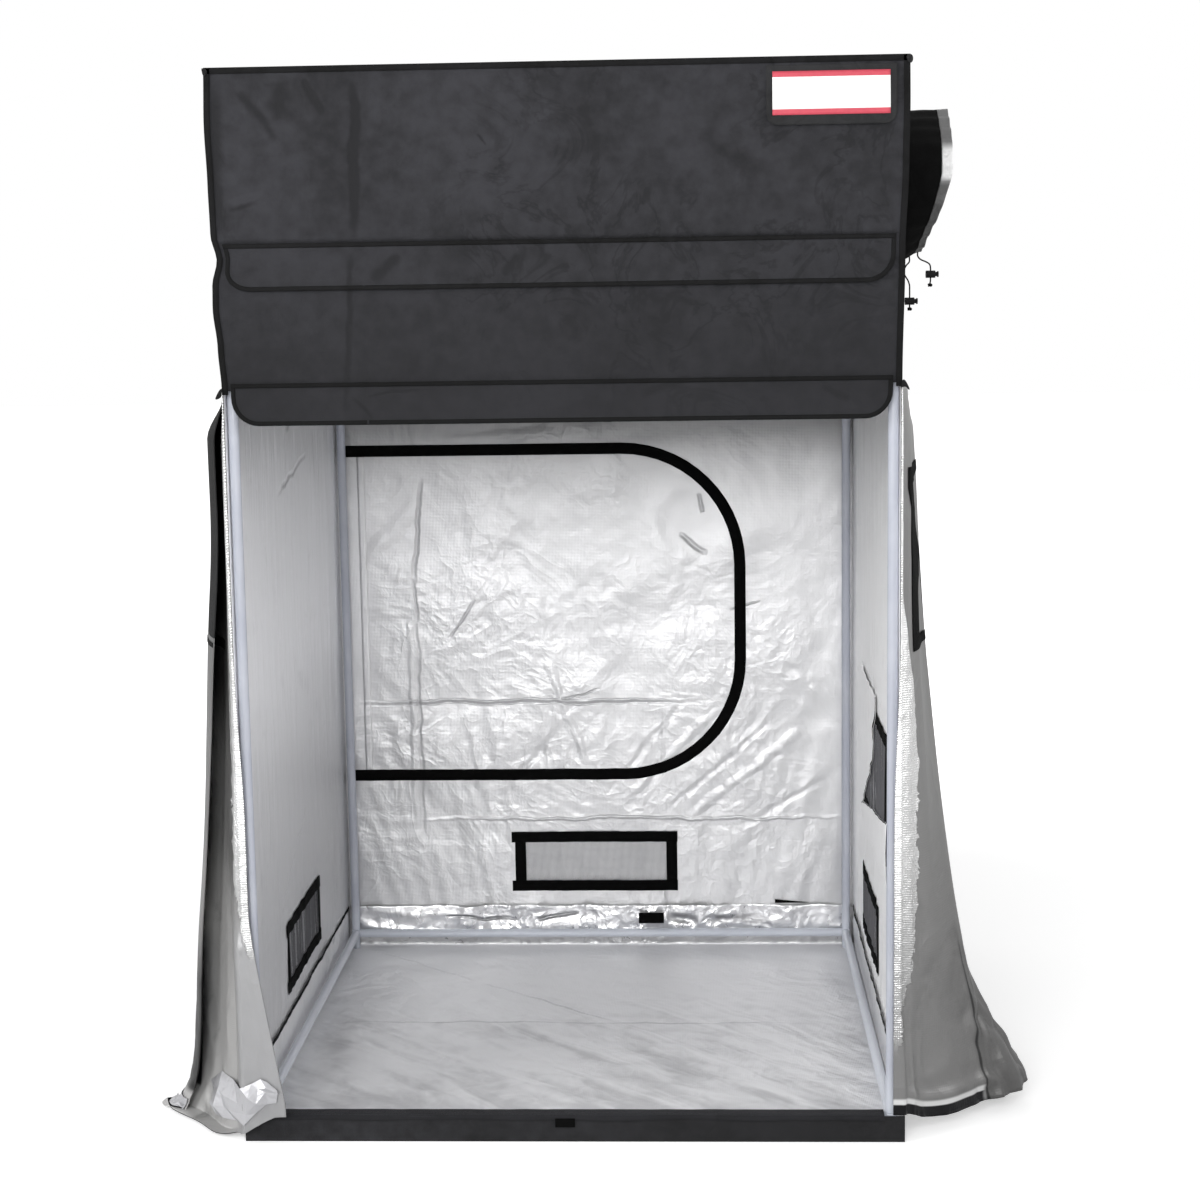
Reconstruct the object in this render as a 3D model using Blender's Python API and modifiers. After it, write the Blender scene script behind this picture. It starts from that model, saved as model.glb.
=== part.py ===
"""Indoor grow tent: a steel tube frame under black canvas with a silver lining.

Units are metres, +Z is up and the front faces -Y. The origin is the middle of the
underside. Doors, flaps and vent covers stand as they hang when the tent is open.
"""

import math

import bmesh
import bpy
from mathutils import Matrix, Vector

# Overall size, measured across the canvas
WIDTH = 1.24
DEPTH = 1.24
HEIGHT = 1.98

# Sheets
CANVAS = 0.0018
LINER = 0.0010
TAPE = 0.0008
MESH = 0.0006
CLEAR = 0.0003

# Frame tubes and the fittings that join them
TUBE_DIAMETER = 0.020
TUBE_WALL = 0.0010
TUBE_SIDES = 16
SPIGOT_LENGTH = 0.034
SPIGOT_CLEAR = 0.0006
SPIGOT_SIDES = 12
FITTING_EDGE = 0.0025
FOOT_DIAMETER = 0.018
ROOF_SPACE = 0.0036
FRAME_INSET = 0.012

# Hanging bars
BAR_DIAMETER = 0.016
BAR_WALL = 0.0010
BAR_DROP = 0.008
BAR_SPACING = 0.44
HOOK_WALL = 0.0022
HOOK_GAP = 0.0006
HOOK_WIDTH = 0.020
HOOK_START = 70
HOOK_SWEEP = 145
HOOK_STEPS = 10

# Front: the panels down from the roof, their storm flaps, the sill and the doors
SILL_HEIGHT = 0.050
EXTENSION_HEIGHT = 0.307
SEAM_SPACING = 0.248
HEADER_HEM = 0.013
EXTENSION_FLAP_DROP = 0.083
DOOR_FLAP_DROP = 0.075
FLAP_SIDE_GAP = 0.017
FLAP_CORNER = 0.050
CORNER_STEPS = 6
DOOR_GAP = 0.007
DOOR_SIDE_GAP = 0.020
DOOR_HEM = 0.045
RIGHT_HEM_LOW = 0.030
LEFT_HEM_LOW = 0.006
DOOR_COLUMNS = 26
DOOR_ROWS = 15

# Rear door
REAR_SIDE_GAP = 0.065
REAR_WIDTH = 0.901
REAR_TOP = 1.217
REAR_BOTTOM = 0.430
REAR_RADIUS = 0.280
REAR_ARC_STEPS = 10
REAR_TAPE_WIDTH = 0.027
SLIDER_LENGTH = 0.026
SLIDER_WIDTH = 0.011
SLIDER_THICK = 0.004
SLIDER_EDGE = 0.0012
PULL_LENGTH = 0.030
PULL_WIDTH = 0.007
PULL_THICK = 0.0016

# Vents and the side window
VENT_WIDTH = 0.394
VENT_HEIGHT = 0.148
VENT_BOTTOM = 0.140
VENT_TAPE_WIDTH = 0.026
BACK_VENT_MIDDLE = -0.007
LEFT_VENT_MIDDLE = 0.025
RIGHT_VENT_MIDDLE = 0.140
WINDOW_WIDTH = 0.575
WINDOW_HEIGHT = 0.265
WINDOW_BOTTOM = 0.435
WINDOW_MIDDLE = 0.018
MESH_LAP = 0.010
COVER_LAP = 0.018
COVER_CORNER = 0.012

# Floor tray
TRAY_UPSTAND = 0.105
TRAY_POST_GAP = 0.004

# Duct sleeve
DUCT_RADIUS = 0.138
DUCT_BELOW_ROOF = 0.185
DUCT_TOP_LENGTH = 0.133
DUCT_BOTTOM_LENGTH = 0.084
DUCT_SAG = 0.018
DUCT_FOLD = 0.0035
DUCT_FOLDS = 7
DUCT_SIDES = 36
DUCT_RINGS = 6

# Draw cords and their locks
CORD_DIAMETER = 0.003
LOCK_DIAMETER = 0.015
LOCK_LENGTH = 0.019
LOCK_SIDES = 16
PLUNGER_DIAMETER = 0.009
PLUNGER_CAP = 0.012
PLUNGER_CAP_THICK = 0.003
PLUNGER_TRAVEL = 0.0035
PLUNGER_CLEAR = 0.0006
LOCK_FLOOR = 0.0025
CORD_HOLE = 0.0044
OVERRUN = 0.010


# Scene, collections and materials

for existing in list(bpy.data.objects):
    bpy.data.objects.remove(existing, do_unlink=True)

PARTS = bpy.data.collections.new("grow_tent")
CUTTERS = bpy.data.collections.new("cutters")
CUTTERS.hide_render = True
for collection in (PARTS, CUTTERS):
    bpy.context.scene.collection.children.link(collection)


def material(name, colour, roughness, metallic=0.0):
    made = bpy.data.materials.new(name)
    made.use_nodes = True
    shader = made.node_tree.nodes["Principled BSDF"]
    shader.inputs["Base Color"].default_value = (*colour, 1.0)
    shader.inputs["Roughness"].default_value = roughness
    shader.inputs["Metallic"].default_value = metallic
    return made


CANVAS_BLACK = material("black_canvas", (0.036, 0.036, 0.041), 0.72)
SILVER_CLOTH = material("silver_lining", (0.58, 0.58, 0.61), 0.34, 0.55)
TAPE_BLACK = material("black_tape", (0.010, 0.010, 0.012), 0.60)
PAINTED_STEEL = material("white_painted_steel", (0.60, 0.63, 0.74), 0.32)
MESH_GREY = material("grey_mesh", (0.070, 0.070, 0.080), 0.80)
PLASTIC_BLACK = material("black_plastic", (0.012, 0.012, 0.013), 0.42)
ZIP_METAL = material("zip_metal", (0.045, 0.045, 0.050), 0.38, 0.80)


# Making and joining shapes

ROUTE_STEPS = 20


def add(name, mesh, finish):
    """Put a mesh in the model under its own name."""
    made = bpy.data.objects.new(name, mesh)
    PARTS.objects.link(made)
    if finish is not None:
        mesh.materials.clear()
        mesh.materials.append(finish)
    return made


def as_cutter(obj):
    """Move an object among the cutters, out of the model."""
    for holder in list(obj.users_collection):
        holder.objects.unlink(obj)
    CUTTERS.objects.link(obj)
    obj.hide_render = True
    obj.display_type = "WIRE"
    return obj


def combine(target, others, operation):
    for other in others:
        modifier = target.modifiers.new(operation.lower(), "BOOLEAN")
        modifier.operation = operation
        modifier.object = as_cutter(other)
    return target


def join(target, others):
    return combine(target, others, "UNION")


def cut(target, others):
    return combine(target, others, "DIFFERENCE")


def box(name, low, high, finish=None):
    """A block between two corners."""
    size = Vector(high) - Vector(low)
    middle = (Vector(high) + Vector(low)) / 2
    shape = bmesh.new()
    bmesh.ops.create_cube(shape, size=1.0, matrix=Matrix.Diagonal((*size, 1.0)))
    mesh = bpy.data.meshes.new(name)
    shape.to_mesh(mesh)
    shape.free()
    made = add(name, mesh, finish)
    made.location = middle
    return made


AXIS_TURNS = {
    "X": Matrix.Rotation(math.radians(90), 4, "Y"),
    "Y": Matrix.Rotation(math.radians(-90), 4, "X"),
    "Z": Matrix.Identity(4),
}


def rod(name, radius, low, high, axis, sides, finish=None):
    """A solid round bar that runs along one axis from low to high."""
    length = (Vector(high) - Vector(low)).length
    shape = bmesh.new()
    bmesh.ops.create_cone(
        shape, cap_ends=True, segments=sides, radius1=radius, radius2=radius, depth=length
    )
    mesh = bpy.data.meshes.new(name)
    shape.to_mesh(mesh)
    shape.free()
    mesh.transform(AXIS_TURNS[axis])
    made = add(name, mesh, finish)
    made.location = (Vector(low) + Vector(high)) / 2
    return made


def smooth(obj, angle=40):
    obj.data.shade_smooth()
    obj.data.set_sharp_from_angle(angle=math.radians(angle))
    return obj


def turned(name, profile, axis, start, finish, sides=TUBE_SIDES):
    """A closed profile of (radius, distance along the axis) turned round the axis."""
    mesh = bpy.data.meshes.new(name)
    count = len(profile)
    points = [(radius, 0.0, along) for radius, along in profile]
    mesh.from_pydata(points, [(i, (i + 1) % count) for i in range(count)], [])
    made = add(name, mesh, finish)
    screw = made.modifiers.new("turn", "SCREW")
    screw.axis = "Z"
    screw.steps = sides
    screw.render_steps = sides
    screw.use_smooth_shade = True
    screw.use_merge_vertices = True
    screw.merge_threshold = CLEAR / 10
    made.matrix_world = Matrix.Translation(start) @ AXIS_TURNS[axis]
    return made


def tube(name, axis, start, length, swage=0.0):
    """A frame tube. A swaged tube has a narrowed end that plugs into the next one."""
    outer = TUBE_DIAMETER / 2
    inner = outer - TUBE_WALL
    if swage:
        neck = inner - SPIGOT_CLEAR
        profile = [
            (neck, length + swage),
            (neck, length),
            (outer, length),
            (outer, 0.0),
            (inner, 0.0),
            (inner, length - TUBE_WALL),
            (neck - TUBE_WALL, length - TUBE_WALL + CLEAR),
            (neck - TUBE_WALL, length + swage),
        ]
    else:
        profile = [(outer, length), (outer, 0.0), (inner, 0.0), (inner, length)]
    return turned(name, profile, axis, start, PAINTED_STEEL)


def outline_plate(name, points, thickness, place, finish=None):
    """A flat outline given thickness, half to each side, then moved to its place."""
    curve = bpy.data.curves.new(name, "CURVE")
    curve.dimensions = "2D"
    curve.fill_mode = "BOTH"
    curve.extrude = thickness / 2
    spline = curve.splines.new("POLY")
    spline.points.add(len(points) - 1)
    for point, (across, up) in zip(spline.points, points):
        point.co = (across, up, 0.0, 1.0)
    spline.use_cyclic_u = True
    guide = bpy.data.objects.new(name + "_guide", curve)
    bpy.context.scene.collection.objects.link(guide)
    guide.matrix_world = place
    bpy.context.view_layer.update()
    graph = bpy.context.evaluated_depsgraph_get()
    mesh = bpy.data.meshes.new_from_object(guide.evaluated_get(graph))
    shape = bmesh.new()
    shape.from_mesh(mesh)
    bmesh.ops.remove_doubles(shape, verts=shape.verts, dist=CLEAR / 10)
    shape.to_mesh(mesh)
    shape.free()
    made = add(name, mesh, finish)
    made.matrix_world = guide.matrix_world.copy()
    bpy.data.objects.remove(guide, do_unlink=True)
    return made


def arc(middle, radius, start, sweep, steps):
    """Points along an arc, by angle in degrees."""
    return [
        (
            middle[0] + radius * math.cos(math.radians(start + sweep * i / steps)),
            middle[1] + radius * math.sin(math.radians(start + sweep * i / steps)),
        )
        for i in range(steps + 1)
    ]


def facing(direction, origin=(0.0, 0.0, 0.0)):
    """The place of a plate: its outline's X runs along the wall, its Y is up, its Z faces direction."""
    out = Vector(direction)
    up = Vector((0.0, 0.0, 1.0))
    across = up.cross(out)
    turn = Matrix((across, up, out)).transposed().to_4x4()
    return Matrix.Translation(origin) @ turn


def loft(name, rings, closed, thickness, finish):
    """A cloth surface through rings of points, thickened to both sides."""
    mesh = bpy.data.meshes.new(name)
    per_ring = len(rings[0])
    points = [point for ring in rings for point in ring]
    spans = per_ring if closed else per_ring - 1
    faces = []
    for i in range(len(rings) - 1):
        for j in range(spans):
            k = (j + 1) % per_ring
            faces.append(
                (i * per_ring + j, i * per_ring + k, (i + 1) * per_ring + k, (i + 1) * per_ring + j)
            )
    mesh.from_pydata(points, [], faces)
    made = add(name, mesh, finish)
    solid = made.modifiers.new("thickness", "SOLIDIFY")
    solid.thickness = thickness
    solid.offset = 0.0
    solid.use_even_offset = True
    return smooth(made, 60)


def smooth_route(points, spacing):
    """Points at an even spacing along a smooth curve through the given points."""
    ends = [2 * points[0] - points[1]] + points + [2 * points[-1] - points[-2]]
    dense = []
    for a, b, c, d in zip(ends, ends[1:], ends[2:], ends[3:]):
        for i in range(ROUTE_STEPS):
            t = i / ROUTE_STEPS
            dense.append(
                0.5 * (2 * b + (c - a) * t + (2 * a - 5 * b + 4 * c - d) * t**2
                       + (3 * b - a - 3 * c + d) * t**3)
            )
    dense.append(points[-1])
    lengths = [0.0]
    for a, b in zip(dense, dense[1:]):
        lengths.append(lengths[-1] + (b - a).length)
    count = max(3, round(lengths[-1] / spacing))
    route = []
    at = 0
    for i in range(count + 1):
        wanted = lengths[-1] * i / count
        while at < len(lengths) - 2 and lengths[at + 1] < wanted:
            at += 1
        share = (wanted - lengths[at]) / (lengths[at + 1] - lengths[at])
        route.append(dense[at].lerp(dense[at + 1], share))
    return route


def ease(share):
    """A smooth step from 0 to 1."""
    share = min(max(share, 0.0), 1.0)
    return share * share * (3 - 2 * share)


def along_table(table, share):
    """A point at a share of the way along a table of points, on a smooth curve."""
    last = len(table) - 1
    place = share * last
    i = min(int(place), last - 1)
    t = place - i
    a, b = Vector(table[max(i - 1, 0)]), Vector(table[i])
    c, d = Vector(table[i + 1]), Vector(table[min(i + 2, last)])
    return 0.5 * (2 * b + (c - a) * t + (2 * a - 5 * b + 4 * c - d) * t**2
                  + (3 * b - a - 3 * c + d) * t**3)


# Places worked out from the sizes

HALF_X = WIDTH / 2
HALF_Y = DEPTH / 2
INNER_X = HALF_X - CANVAS
INNER_Y = HALF_Y - CANVAS
TUBE_RADIUS = TUBE_DIAMETER / 2
POST_X = INNER_X - FRAME_INSET - TUBE_RADIUS
POST_Y = INNER_Y - FRAME_INSET - TUBE_RADIUS
BOTTOM_RAIL_Z = SILL_HEIGHT - TUBE_RADIUS
TOP_RAIL_Z = HEIGHT - CANVAS - ROOF_SPACE - TUBE_RADIUS
TRAY_Z = CANVAS + CLEAR
FOOT_Z = TRAY_Z + LINER + CLEAR
WALL_LOW = CANVAS + CLEAR
WALL_HIGH = HEIGHT - CANVAS - CLEAR
EXTENSION_SEAM = HEIGHT - EXTENSION_HEIGHT
DOOR_SEAM = EXTENSION_SEAM - SEAM_SPACING
HEADER_BOTTOM = DOOR_SEAM - HEADER_HEM
DOOR_TOP = HEADER_BOTTOM - DOOR_GAP
DOOR_HALF = HALF_X - DOOR_SIDE_GAP
FLAP_HALF_WIDTH = HALF_X - FLAP_SIDE_GAP
DUCT_HEIGHT = HEIGHT - DUCT_BELOW_ROOF
REAR_LEFT = REAR_SIDE_GAP - HALF_X
REAR_RIGHT = REAR_LEFT + REAR_WIDTH
FRONT_Y = -HALF_Y
SIDES = (("left", -1), ("right", 1))
ENDS = (("front", -1), ("back", 1))


# Frame: four corner posts in two lengths, eight rails and eight three-way fittings

def fitting(name, x_side, y_side, z, up):
    """A rounded block with a spigot into each tube. The lower ones stand on a foot."""
    centre = Vector((x_side * POST_X, y_side * POST_Y, z))
    half = Vector((TUBE_RADIUS, TUBE_RADIUS, TUBE_RADIUS))
    block = box(name, centre - half, centre + half, PAINTED_STEEL)
    bevel = block.modifiers.new("rounded", "BEVEL")
    bevel.width = FITTING_EDGE
    bevel.segments = 2
    radius = TUBE_RADIUS - TUBE_WALL - SPIGOT_CLEAR
    reach = TUBE_RADIUS + SPIGOT_LENGTH
    arms = [("X", (-x_side, 0, 0)), ("Y", (0, -y_side, 0)), ("Z", (0, 0, up))]
    spigots = []
    for axis, way in arms:
        tip = centre + reach * Vector(way)
        spigots.append(rod(f"{name}_spigot_{axis}", radius, centre, tip, axis, SPIGOT_SIDES))
    if up > 0:
        bottom = Vector((centre.x, centre.y, FOOT_Z))
        spigots.append(rod(name + "_foot", FOOT_DIAMETER / 2, bottom, centre, "Z", SPIGOT_SIDES))
    return join(block, spigots)


post_start = BOTTOM_RAIL_Z + TUBE_RADIUS + CLEAR
post_end = TOP_RAIL_Z - TUBE_RADIUS - CLEAR
for x_name, x_side in SIDES:
    for y_name, y_side in ENDS:
        corner = f"{y_name}_{x_name}"
        place_x = x_side * POST_X
        place_y = y_side * POST_Y
        fitting(f"bottom_fitting_{corner}", x_side, y_side, BOTTOM_RAIL_Z, 1)
        fitting(f"top_fitting_{corner}", x_side, y_side, TOP_RAIL_Z, -1)
        tube(f"post_{corner}", "Z", (place_x, place_y, post_start),
             EXTENSION_SEAM - post_start, SPIGOT_LENGTH)
        tube(f"extension_post_{corner}", "Z", (place_x, place_y, EXTENSION_SEAM + CLEAR),
             post_end - EXTENSION_SEAM - CLEAR)

rail_gap = TUBE_RADIUS + CLEAR
for level, z in (("bottom", BOTTOM_RAIL_Z), ("top", TOP_RAIL_Z)):
    for y_name, y_side in ENDS:
        tube(f"{level}_rail_{y_name}", "X", (rail_gap - POST_X, y_side * POST_Y, z),
             2 * (POST_X - rail_gap))
    for x_name, x_side in SIDES:
        tube(f"{level}_rail_{x_name}", "Y", (x_side * POST_X, rail_gap - POST_Y, z),
             2 * (POST_Y - rail_gap))


# Two hanging bars lie across the side rails on saddle hooks and slide along them

def saddle(name, x_side, y):
    """A strap that goes over a side rail and down to the bar's end."""
    inner = TUBE_RADIUS + HOOK_GAP
    outer = inner + HOOK_WALL
    start = HOOK_START
    curve = arc((0, 0), outer, start, HOOK_SWEEP, HOOK_STEPS)
    curve += arc((0, 0), inner, start + HOOK_SWEEP, -HOOK_SWEEP, HOOK_STEPS)
    points = [(x_side * across, up) for across, up in curve]
    if x_side < 0:
        points.reverse()
    place = facing((0, -1, 0), (x_side * POST_X, y, TOP_RAIL_Z))
    return outline_plate(name, points, HOOK_WIDTH, place)


for name, y in (("front", -BAR_SPACING / 2), ("back", BAR_SPACING / 2)):
    bar_half = POST_X - TUBE_RADIUS - HOOK_GAP - HOOK_WALL / 2
    radius = BAR_DIAMETER / 2
    bore = radius - BAR_WALL
    profile = [(radius, 2 * bar_half), (radius, 0.0), (bore, 0.0), (bore, 2 * bar_half)]
    bar = turned(f"hanging_bar_{name}", profile, "X", (-bar_half, y, TOP_RAIL_Z - BAR_DROP),
                 PAINTED_STEEL)
    join(bar, [saddle(f"hook_{name}_{side_name}", side, y) for side_name, side in SIDES])


# Roof, walls and floor of black canvas with the silver lining inside

box("roof_panel", (-HALF_X, -HALF_Y, HEIGHT - CANVAS), (HALF_X, HALF_Y, HEIGHT), CANVAS_BLACK)

floor_profile = [
    (-HALF_Y, 0.0), (HALF_Y, 0.0), (HALF_Y, CANVAS), (-INNER_Y, CANVAS),
    (-INNER_Y, SILL_HEIGHT), (-HALF_Y, SILL_HEIGHT),
]
outline_plate("base_panel", floor_profile, WIDTH, facing((1, 0, 0)), CANVAS_BLACK)


def wall(name, direction, offset, half, low=WALL_LOW, high=WALL_HIGH):
    """A plain panel that stands across direction, its middle surface at offset."""
    thick = CANVAS / 2
    if direction == "X":
        corners = (offset - thick, -half, low), (offset + thick, half, high)
    else:
        corners = (-half, offset - thick, low), (half, offset + thick, high)
    return box(name, *corners, CANVAS_BLACK)


wall_x = HALF_X - CANVAS / 2
wall_y = HALF_Y - CANVAS / 2
side_half = INNER_Y - CLEAR
left_wall = wall("left_wall", "X", -wall_x, side_half)
right_wall = wall("right_wall", "X", wall_x, side_half)
back_wall = wall("back_wall", "Y", wall_y, HALF_X)
wall("extension_panel", "Y", -wall_y, HALF_X, EXTENSION_SEAM + CLEAR)
wall("door_header", "Y", -wall_y, HALF_X, HEADER_BOTTOM, EXTENSION_SEAM)


# The storm flaps hang over the two front zips from their top seams

def hanging_flap(name, top, drop, half, corner, thickness, place):
    """A cloth flap with square top corners and rounded bottom ones."""
    points = [(half, top), (-half, top)]
    points += arc((corner - half, top - drop + corner), corner, 180, 90, CORNER_STEPS)
    points += arc((half - corner, top - drop + corner), corner, 270, 90, CORNER_STEPS)
    return outline_plate(name, points, thickness, place, CANVAS_BLACK)


flap_place = facing((0, -1, 0), (0, FRONT_Y - CLEAR - CANVAS / 2, 0))
hanging_flap("extension_storm_flap", EXTENSION_SEAM, EXTENSION_FLAP_DROP,
             FLAP_HALF_WIDTH, FLAP_CORNER, CANVAS, flap_place)
hanging_flap("door_storm_flap", DOOR_SEAM, DOOR_FLAP_DROP,
             FLAP_HALF_WIDTH, FLAP_CORNER, CANVAS, flap_place)


# The doors hang open at the front corners, folded back round the sides.
# Each table runs from the hinge edge to the free edge, as shares of the half door's width:
# how far the cloth stands out from the wall and how far back it lies.

hinge_share = ((CLEAR + CANVAS / 2) / DOOR_HALF, 0.005)
RIGHT_TOP_SHARES = (
    hinge_share, (0.008, 0.050), (0.020, 0.130), (0.031, 0.220), (0.040, 0.310),
    (0.045, 0.390), (0.040, 0.425), (0.022, 0.330), (0.008, 0.200),
)
RIGHT_HEM_SHARES = (
    hinge_share, (0.035, 0.030), (0.082, 0.065), (0.170, 0.122), (0.295, 0.232),
    (0.368, 0.290), (0.437, 0.375), (0.400, 0.450), (0.310, 0.490),
)
LEFT_TOP_SHARES = (
    hinge_share, (0.004, 0.050), (0.012, 0.130), (0.032, 0.220), (0.066, 0.310),
    (0.100, 0.385), (0.117, 0.425), (0.090, 0.280), (0.045, 0.140),
)
LEFT_HEM_SHARES = (
    hinge_share, (0.030, 0.015), (0.066, 0.030), (0.110, 0.055), (0.190, 0.140),
    (0.285, 0.245), (0.335, 0.340), (0.338, 0.315), (0.322, 0.275),
)

# How far each door has spread from its top shape to its hem shape, by height share from the top.
LEFT_SPREAD_SHARES = (
    (0.0, 0.0), (0.11, 0.0), (0.29, 0.137), (0.49, 0.267), (0.632, 0.374),
    (0.747, 0.504), (0.86, 0.573), (0.957, 0.718), (1.0, 1.0),
)
WING_SPREAD_SHARES = (
    (0.0, 0.0), (0.127, 0.05), (0.315, 0.115), (0.54, 0.24), (0.655, 0.306),
    (0.77, 0.40), (0.863, 0.523), (0.913, 0.69), (0.974, 0.953), (1.0, 1.0),
)
WING_COLUMN_SHARE = 0.50
WING_TURN_SHARE = 0.25
HEM_DROP_SHARE = 0.33
RIPPLE_SHARE = 0.006
RIPPLE_HALF_WAVES = 7


def spread(rows, v):
    """The spread at a height share, from rows of (height share, spread)."""
    for (low, first), (high, second) in zip(rows, rows[1:]):
        if v <= high:
            return first + (second - first) * (v - low) / (high - low)
    return rows[-1][1]


def left_flare(u, v):
    """The left door spreads evenly over its height and kicks out at the hem, alike in all columns."""
    return spread(LEFT_SPREAD_SHARES, v)


def right_flare(u, v):
    """The right door spreads more and more to the hem, and the columns of its free half last of all."""
    main = v * v
    wing = spread(WING_SPREAD_SHARES, v)
    return main + ease((u - WING_COLUMN_SHARE) / WING_TURN_SHARE) * (wing - main)


def door(name, side, top_table, hem_table, hem_low, flare):
    """A door half from its top edge down, each row nearer to its shape at the hem."""
    rings = []
    for row in range(DOOR_ROWS + 1):
        v = row / DOOR_ROWS
        ring = []
        for column in range(DOOR_COLUMNS + 1):
            u = column / DOOR_COLUMNS
            top = along_table(top_table, u)
            hem = along_table(hem_table, u)
            spot = top.lerp(hem, flare(u, v)) * DOOR_HALF
            away = ease(u / HEM_DROP_SHARE)
            wave = math.sin(math.pi * RIPPLE_HALF_WAVES * u)
            ripple = RIPPLE_SHARE * DOOR_HALF * v * away * wave
            bottom = DOOR_HEM + (hem_low - DOOR_HEM) * away
            z = DOOR_TOP + (bottom - DOOR_TOP) * v
            out = HALF_X + spot.x + ripple
            ring.append((side * out, FRONT_Y + spot.y, z))
        rings.append(ring if side > 0 else ring[::-1])
    return loft(name, rings, False, CANVAS, SILVER_CLOTH)


door("right_door", 1, RIGHT_TOP_SHARES, RIGHT_HEM_SHARES, RIGHT_HEM_LOW, right_flare)
door("left_door", -1, LEFT_TOP_SHARES, LEFT_HEM_SHARES, LEFT_HEM_LOW, left_flare)


# The rear door is a D-shaped panel of the back wall, zipped round its curved side

def rear_path(grow, left):
    """The rear door's zip line from the foot of its straight side round to the top, moved out by grow."""
    middle = REAR_RIGHT - REAR_RADIUS
    points = [(left, REAR_BOTTOM - grow)]
    points += arc((middle, REAR_BOTTOM + REAR_RADIUS), REAR_RADIUS + grow, -90, 90, REAR_ARC_STEPS)
    points += arc((middle, REAR_TOP - REAR_RADIUS), REAR_RADIUS + grow, 0, 90, REAR_ARC_STEPS)
    points.append((left, REAR_TOP + grow))
    return points


half_gap = CLEAR / 2
wall_place = facing((0, -1, 0), (0, wall_y, 0))
rear_hole = outline_plate("rear_door_hole", rear_path(half_gap, REAR_LEFT - half_gap),
                          CANVAS + 2 * OVERRUN, wall_place)
back_holes = [rear_hole]
outline_plate("rear_door", rear_path(-half_gap, REAR_LEFT + half_gap), CANVAS, wall_place,
              CANVAS_BLACK)

half_tape = REAR_TAPE_WIDTH / 2
tape_end = REAR_LEFT - half_tape
tape_points = rear_path(half_tape, tape_end) + rear_path(-half_tape, tape_end)[::-1]
outline_plate("rear_door_tape", tape_points, TAPE,
              facing((0, -1, 0), (0, INNER_Y - CLEAR - TAPE / 2, 0)), TAPE_BLACK)

slider_x = REAR_LEFT - SLIDER_LENGTH / 2 - SLIDER_WIDTH / 2
slider_y = HALF_Y + CLEAR
slider = box("rear_zip_slider",
             (slider_x - SLIDER_LENGTH / 2, slider_y, REAR_TOP - SLIDER_WIDTH / 2),
             (slider_x + SLIDER_LENGTH / 2, slider_y + SLIDER_THICK, REAR_TOP + SLIDER_WIDTH / 2),
             ZIP_METAL)
rounded = slider.modifiers.new("rounded", "BEVEL")
rounded.width = SLIDER_EDGE
rounded.segments = 2
pull_y = slider_y + SLIDER_THICK - PULL_THICK
pull = box("rear_zip_pull",
           (slider_x - PULL_WIDTH / 2, pull_y, REAR_TOP - PULL_LENGTH),
           (slider_x + PULL_WIDTH / 2, pull_y + PULL_THICK, REAR_TOP))
join(slider, [pull])


# Vents and the side window: a hole in the wall, netting, a taped edge inside and a cover outside

def wall_block(name, direction, side, span, rise, depths, finish=None):
    """A block on a wall: span along it, rise up it, and depths measured in from its inner face."""
    inner = INNER_X if direction == "X" else INNER_Y
    across = sorted(side * (inner - depth) for depth in depths)
    if direction == "X":
        return box(name, (across[0], span[0], rise[0]), (across[1], span[1], rise[1]), finish)
    return box(name, (span[0], across[0], rise[0]), (span[1], across[1], rise[1]), finish)


def grown(pair, by):
    return pair[0] - by, pair[1] + by


def vent(name, direction, side, middle, bottom, width, height):
    """Make one vent's pieces and return the cutter of its hole."""
    span = (middle - width / 2, middle + width / 2)
    rise = (bottom, bottom + height)
    net_span = grown(span, -VENT_TAPE_WIDTH)
    net_rise = grown(rise, -VENT_TAPE_WIDTH)
    hole = wall_block(name + "_hole", direction, side, net_span, net_rise,
                      (-CANVAS - OVERRUN, OVERRUN))
    wall_block(name + "_mesh", direction, side, grown(net_span, MESH_LAP),
               grown(net_rise, MESH_LAP), (CLEAR, CLEAR + MESH), MESH_GREY)
    tape_depth = 2 * CLEAR + MESH
    frame = wall_block(name + "_tape", direction, side, span, rise,
                       (tape_depth, tape_depth + TAPE), TAPE_BLACK)
    cut(frame, [wall_block(name + "_tape_hole", direction, side, net_span, net_rise,
                           (-OVERRUN, OVERRUN))])
    outside = (HALF_X if direction == "X" else HALF_Y) + CLEAR + CANVAS / 2
    if direction == "X":
        place = facing((1, 0, 0), (side * outside, middle, 0))
    else:
        place = facing((0, -1, 0), (middle, side * outside, 0))
    hanging_flap(name + "_cover", rise[1] + COVER_LAP, height + 2 * COVER_LAP,
                 width / 2 + COVER_LAP, COVER_CORNER, CANVAS, place)
    return hole


left_hole = vent("left_vent", "X", -1, LEFT_VENT_MIDDLE, VENT_BOTTOM, VENT_WIDTH, VENT_HEIGHT)
right_hole = vent("right_vent", "X", 1, RIGHT_VENT_MIDDLE, VENT_BOTTOM, VENT_WIDTH, VENT_HEIGHT)
window_hole = vent("side_window", "X", 1, WINDOW_MIDDLE, WINDOW_BOTTOM, WINDOW_WIDTH,
                   WINDOW_HEIGHT)
back_holes.append(
    vent("back_vent", "Y", 1, BACK_VENT_MIDDLE, VENT_BOTTOM, VENT_WIDTH, VENT_HEIGHT)
)
duct_hole = rod("duct_hole", DUCT_RADIUS - CANVAS,
                (INNER_X - OVERRUN, 0, DUCT_HEIGHT), (HALF_X + OVERRUN, 0, DUCT_HEIGHT),
                "X", DUCT_SIDES)
cut(left_wall, [left_hole])
cut(right_wall, [right_hole, window_hole, duct_hole])
cut(back_wall, back_holes)


# The silver floor tray lies under the rails, stands up along the walls and laps over the sill

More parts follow.
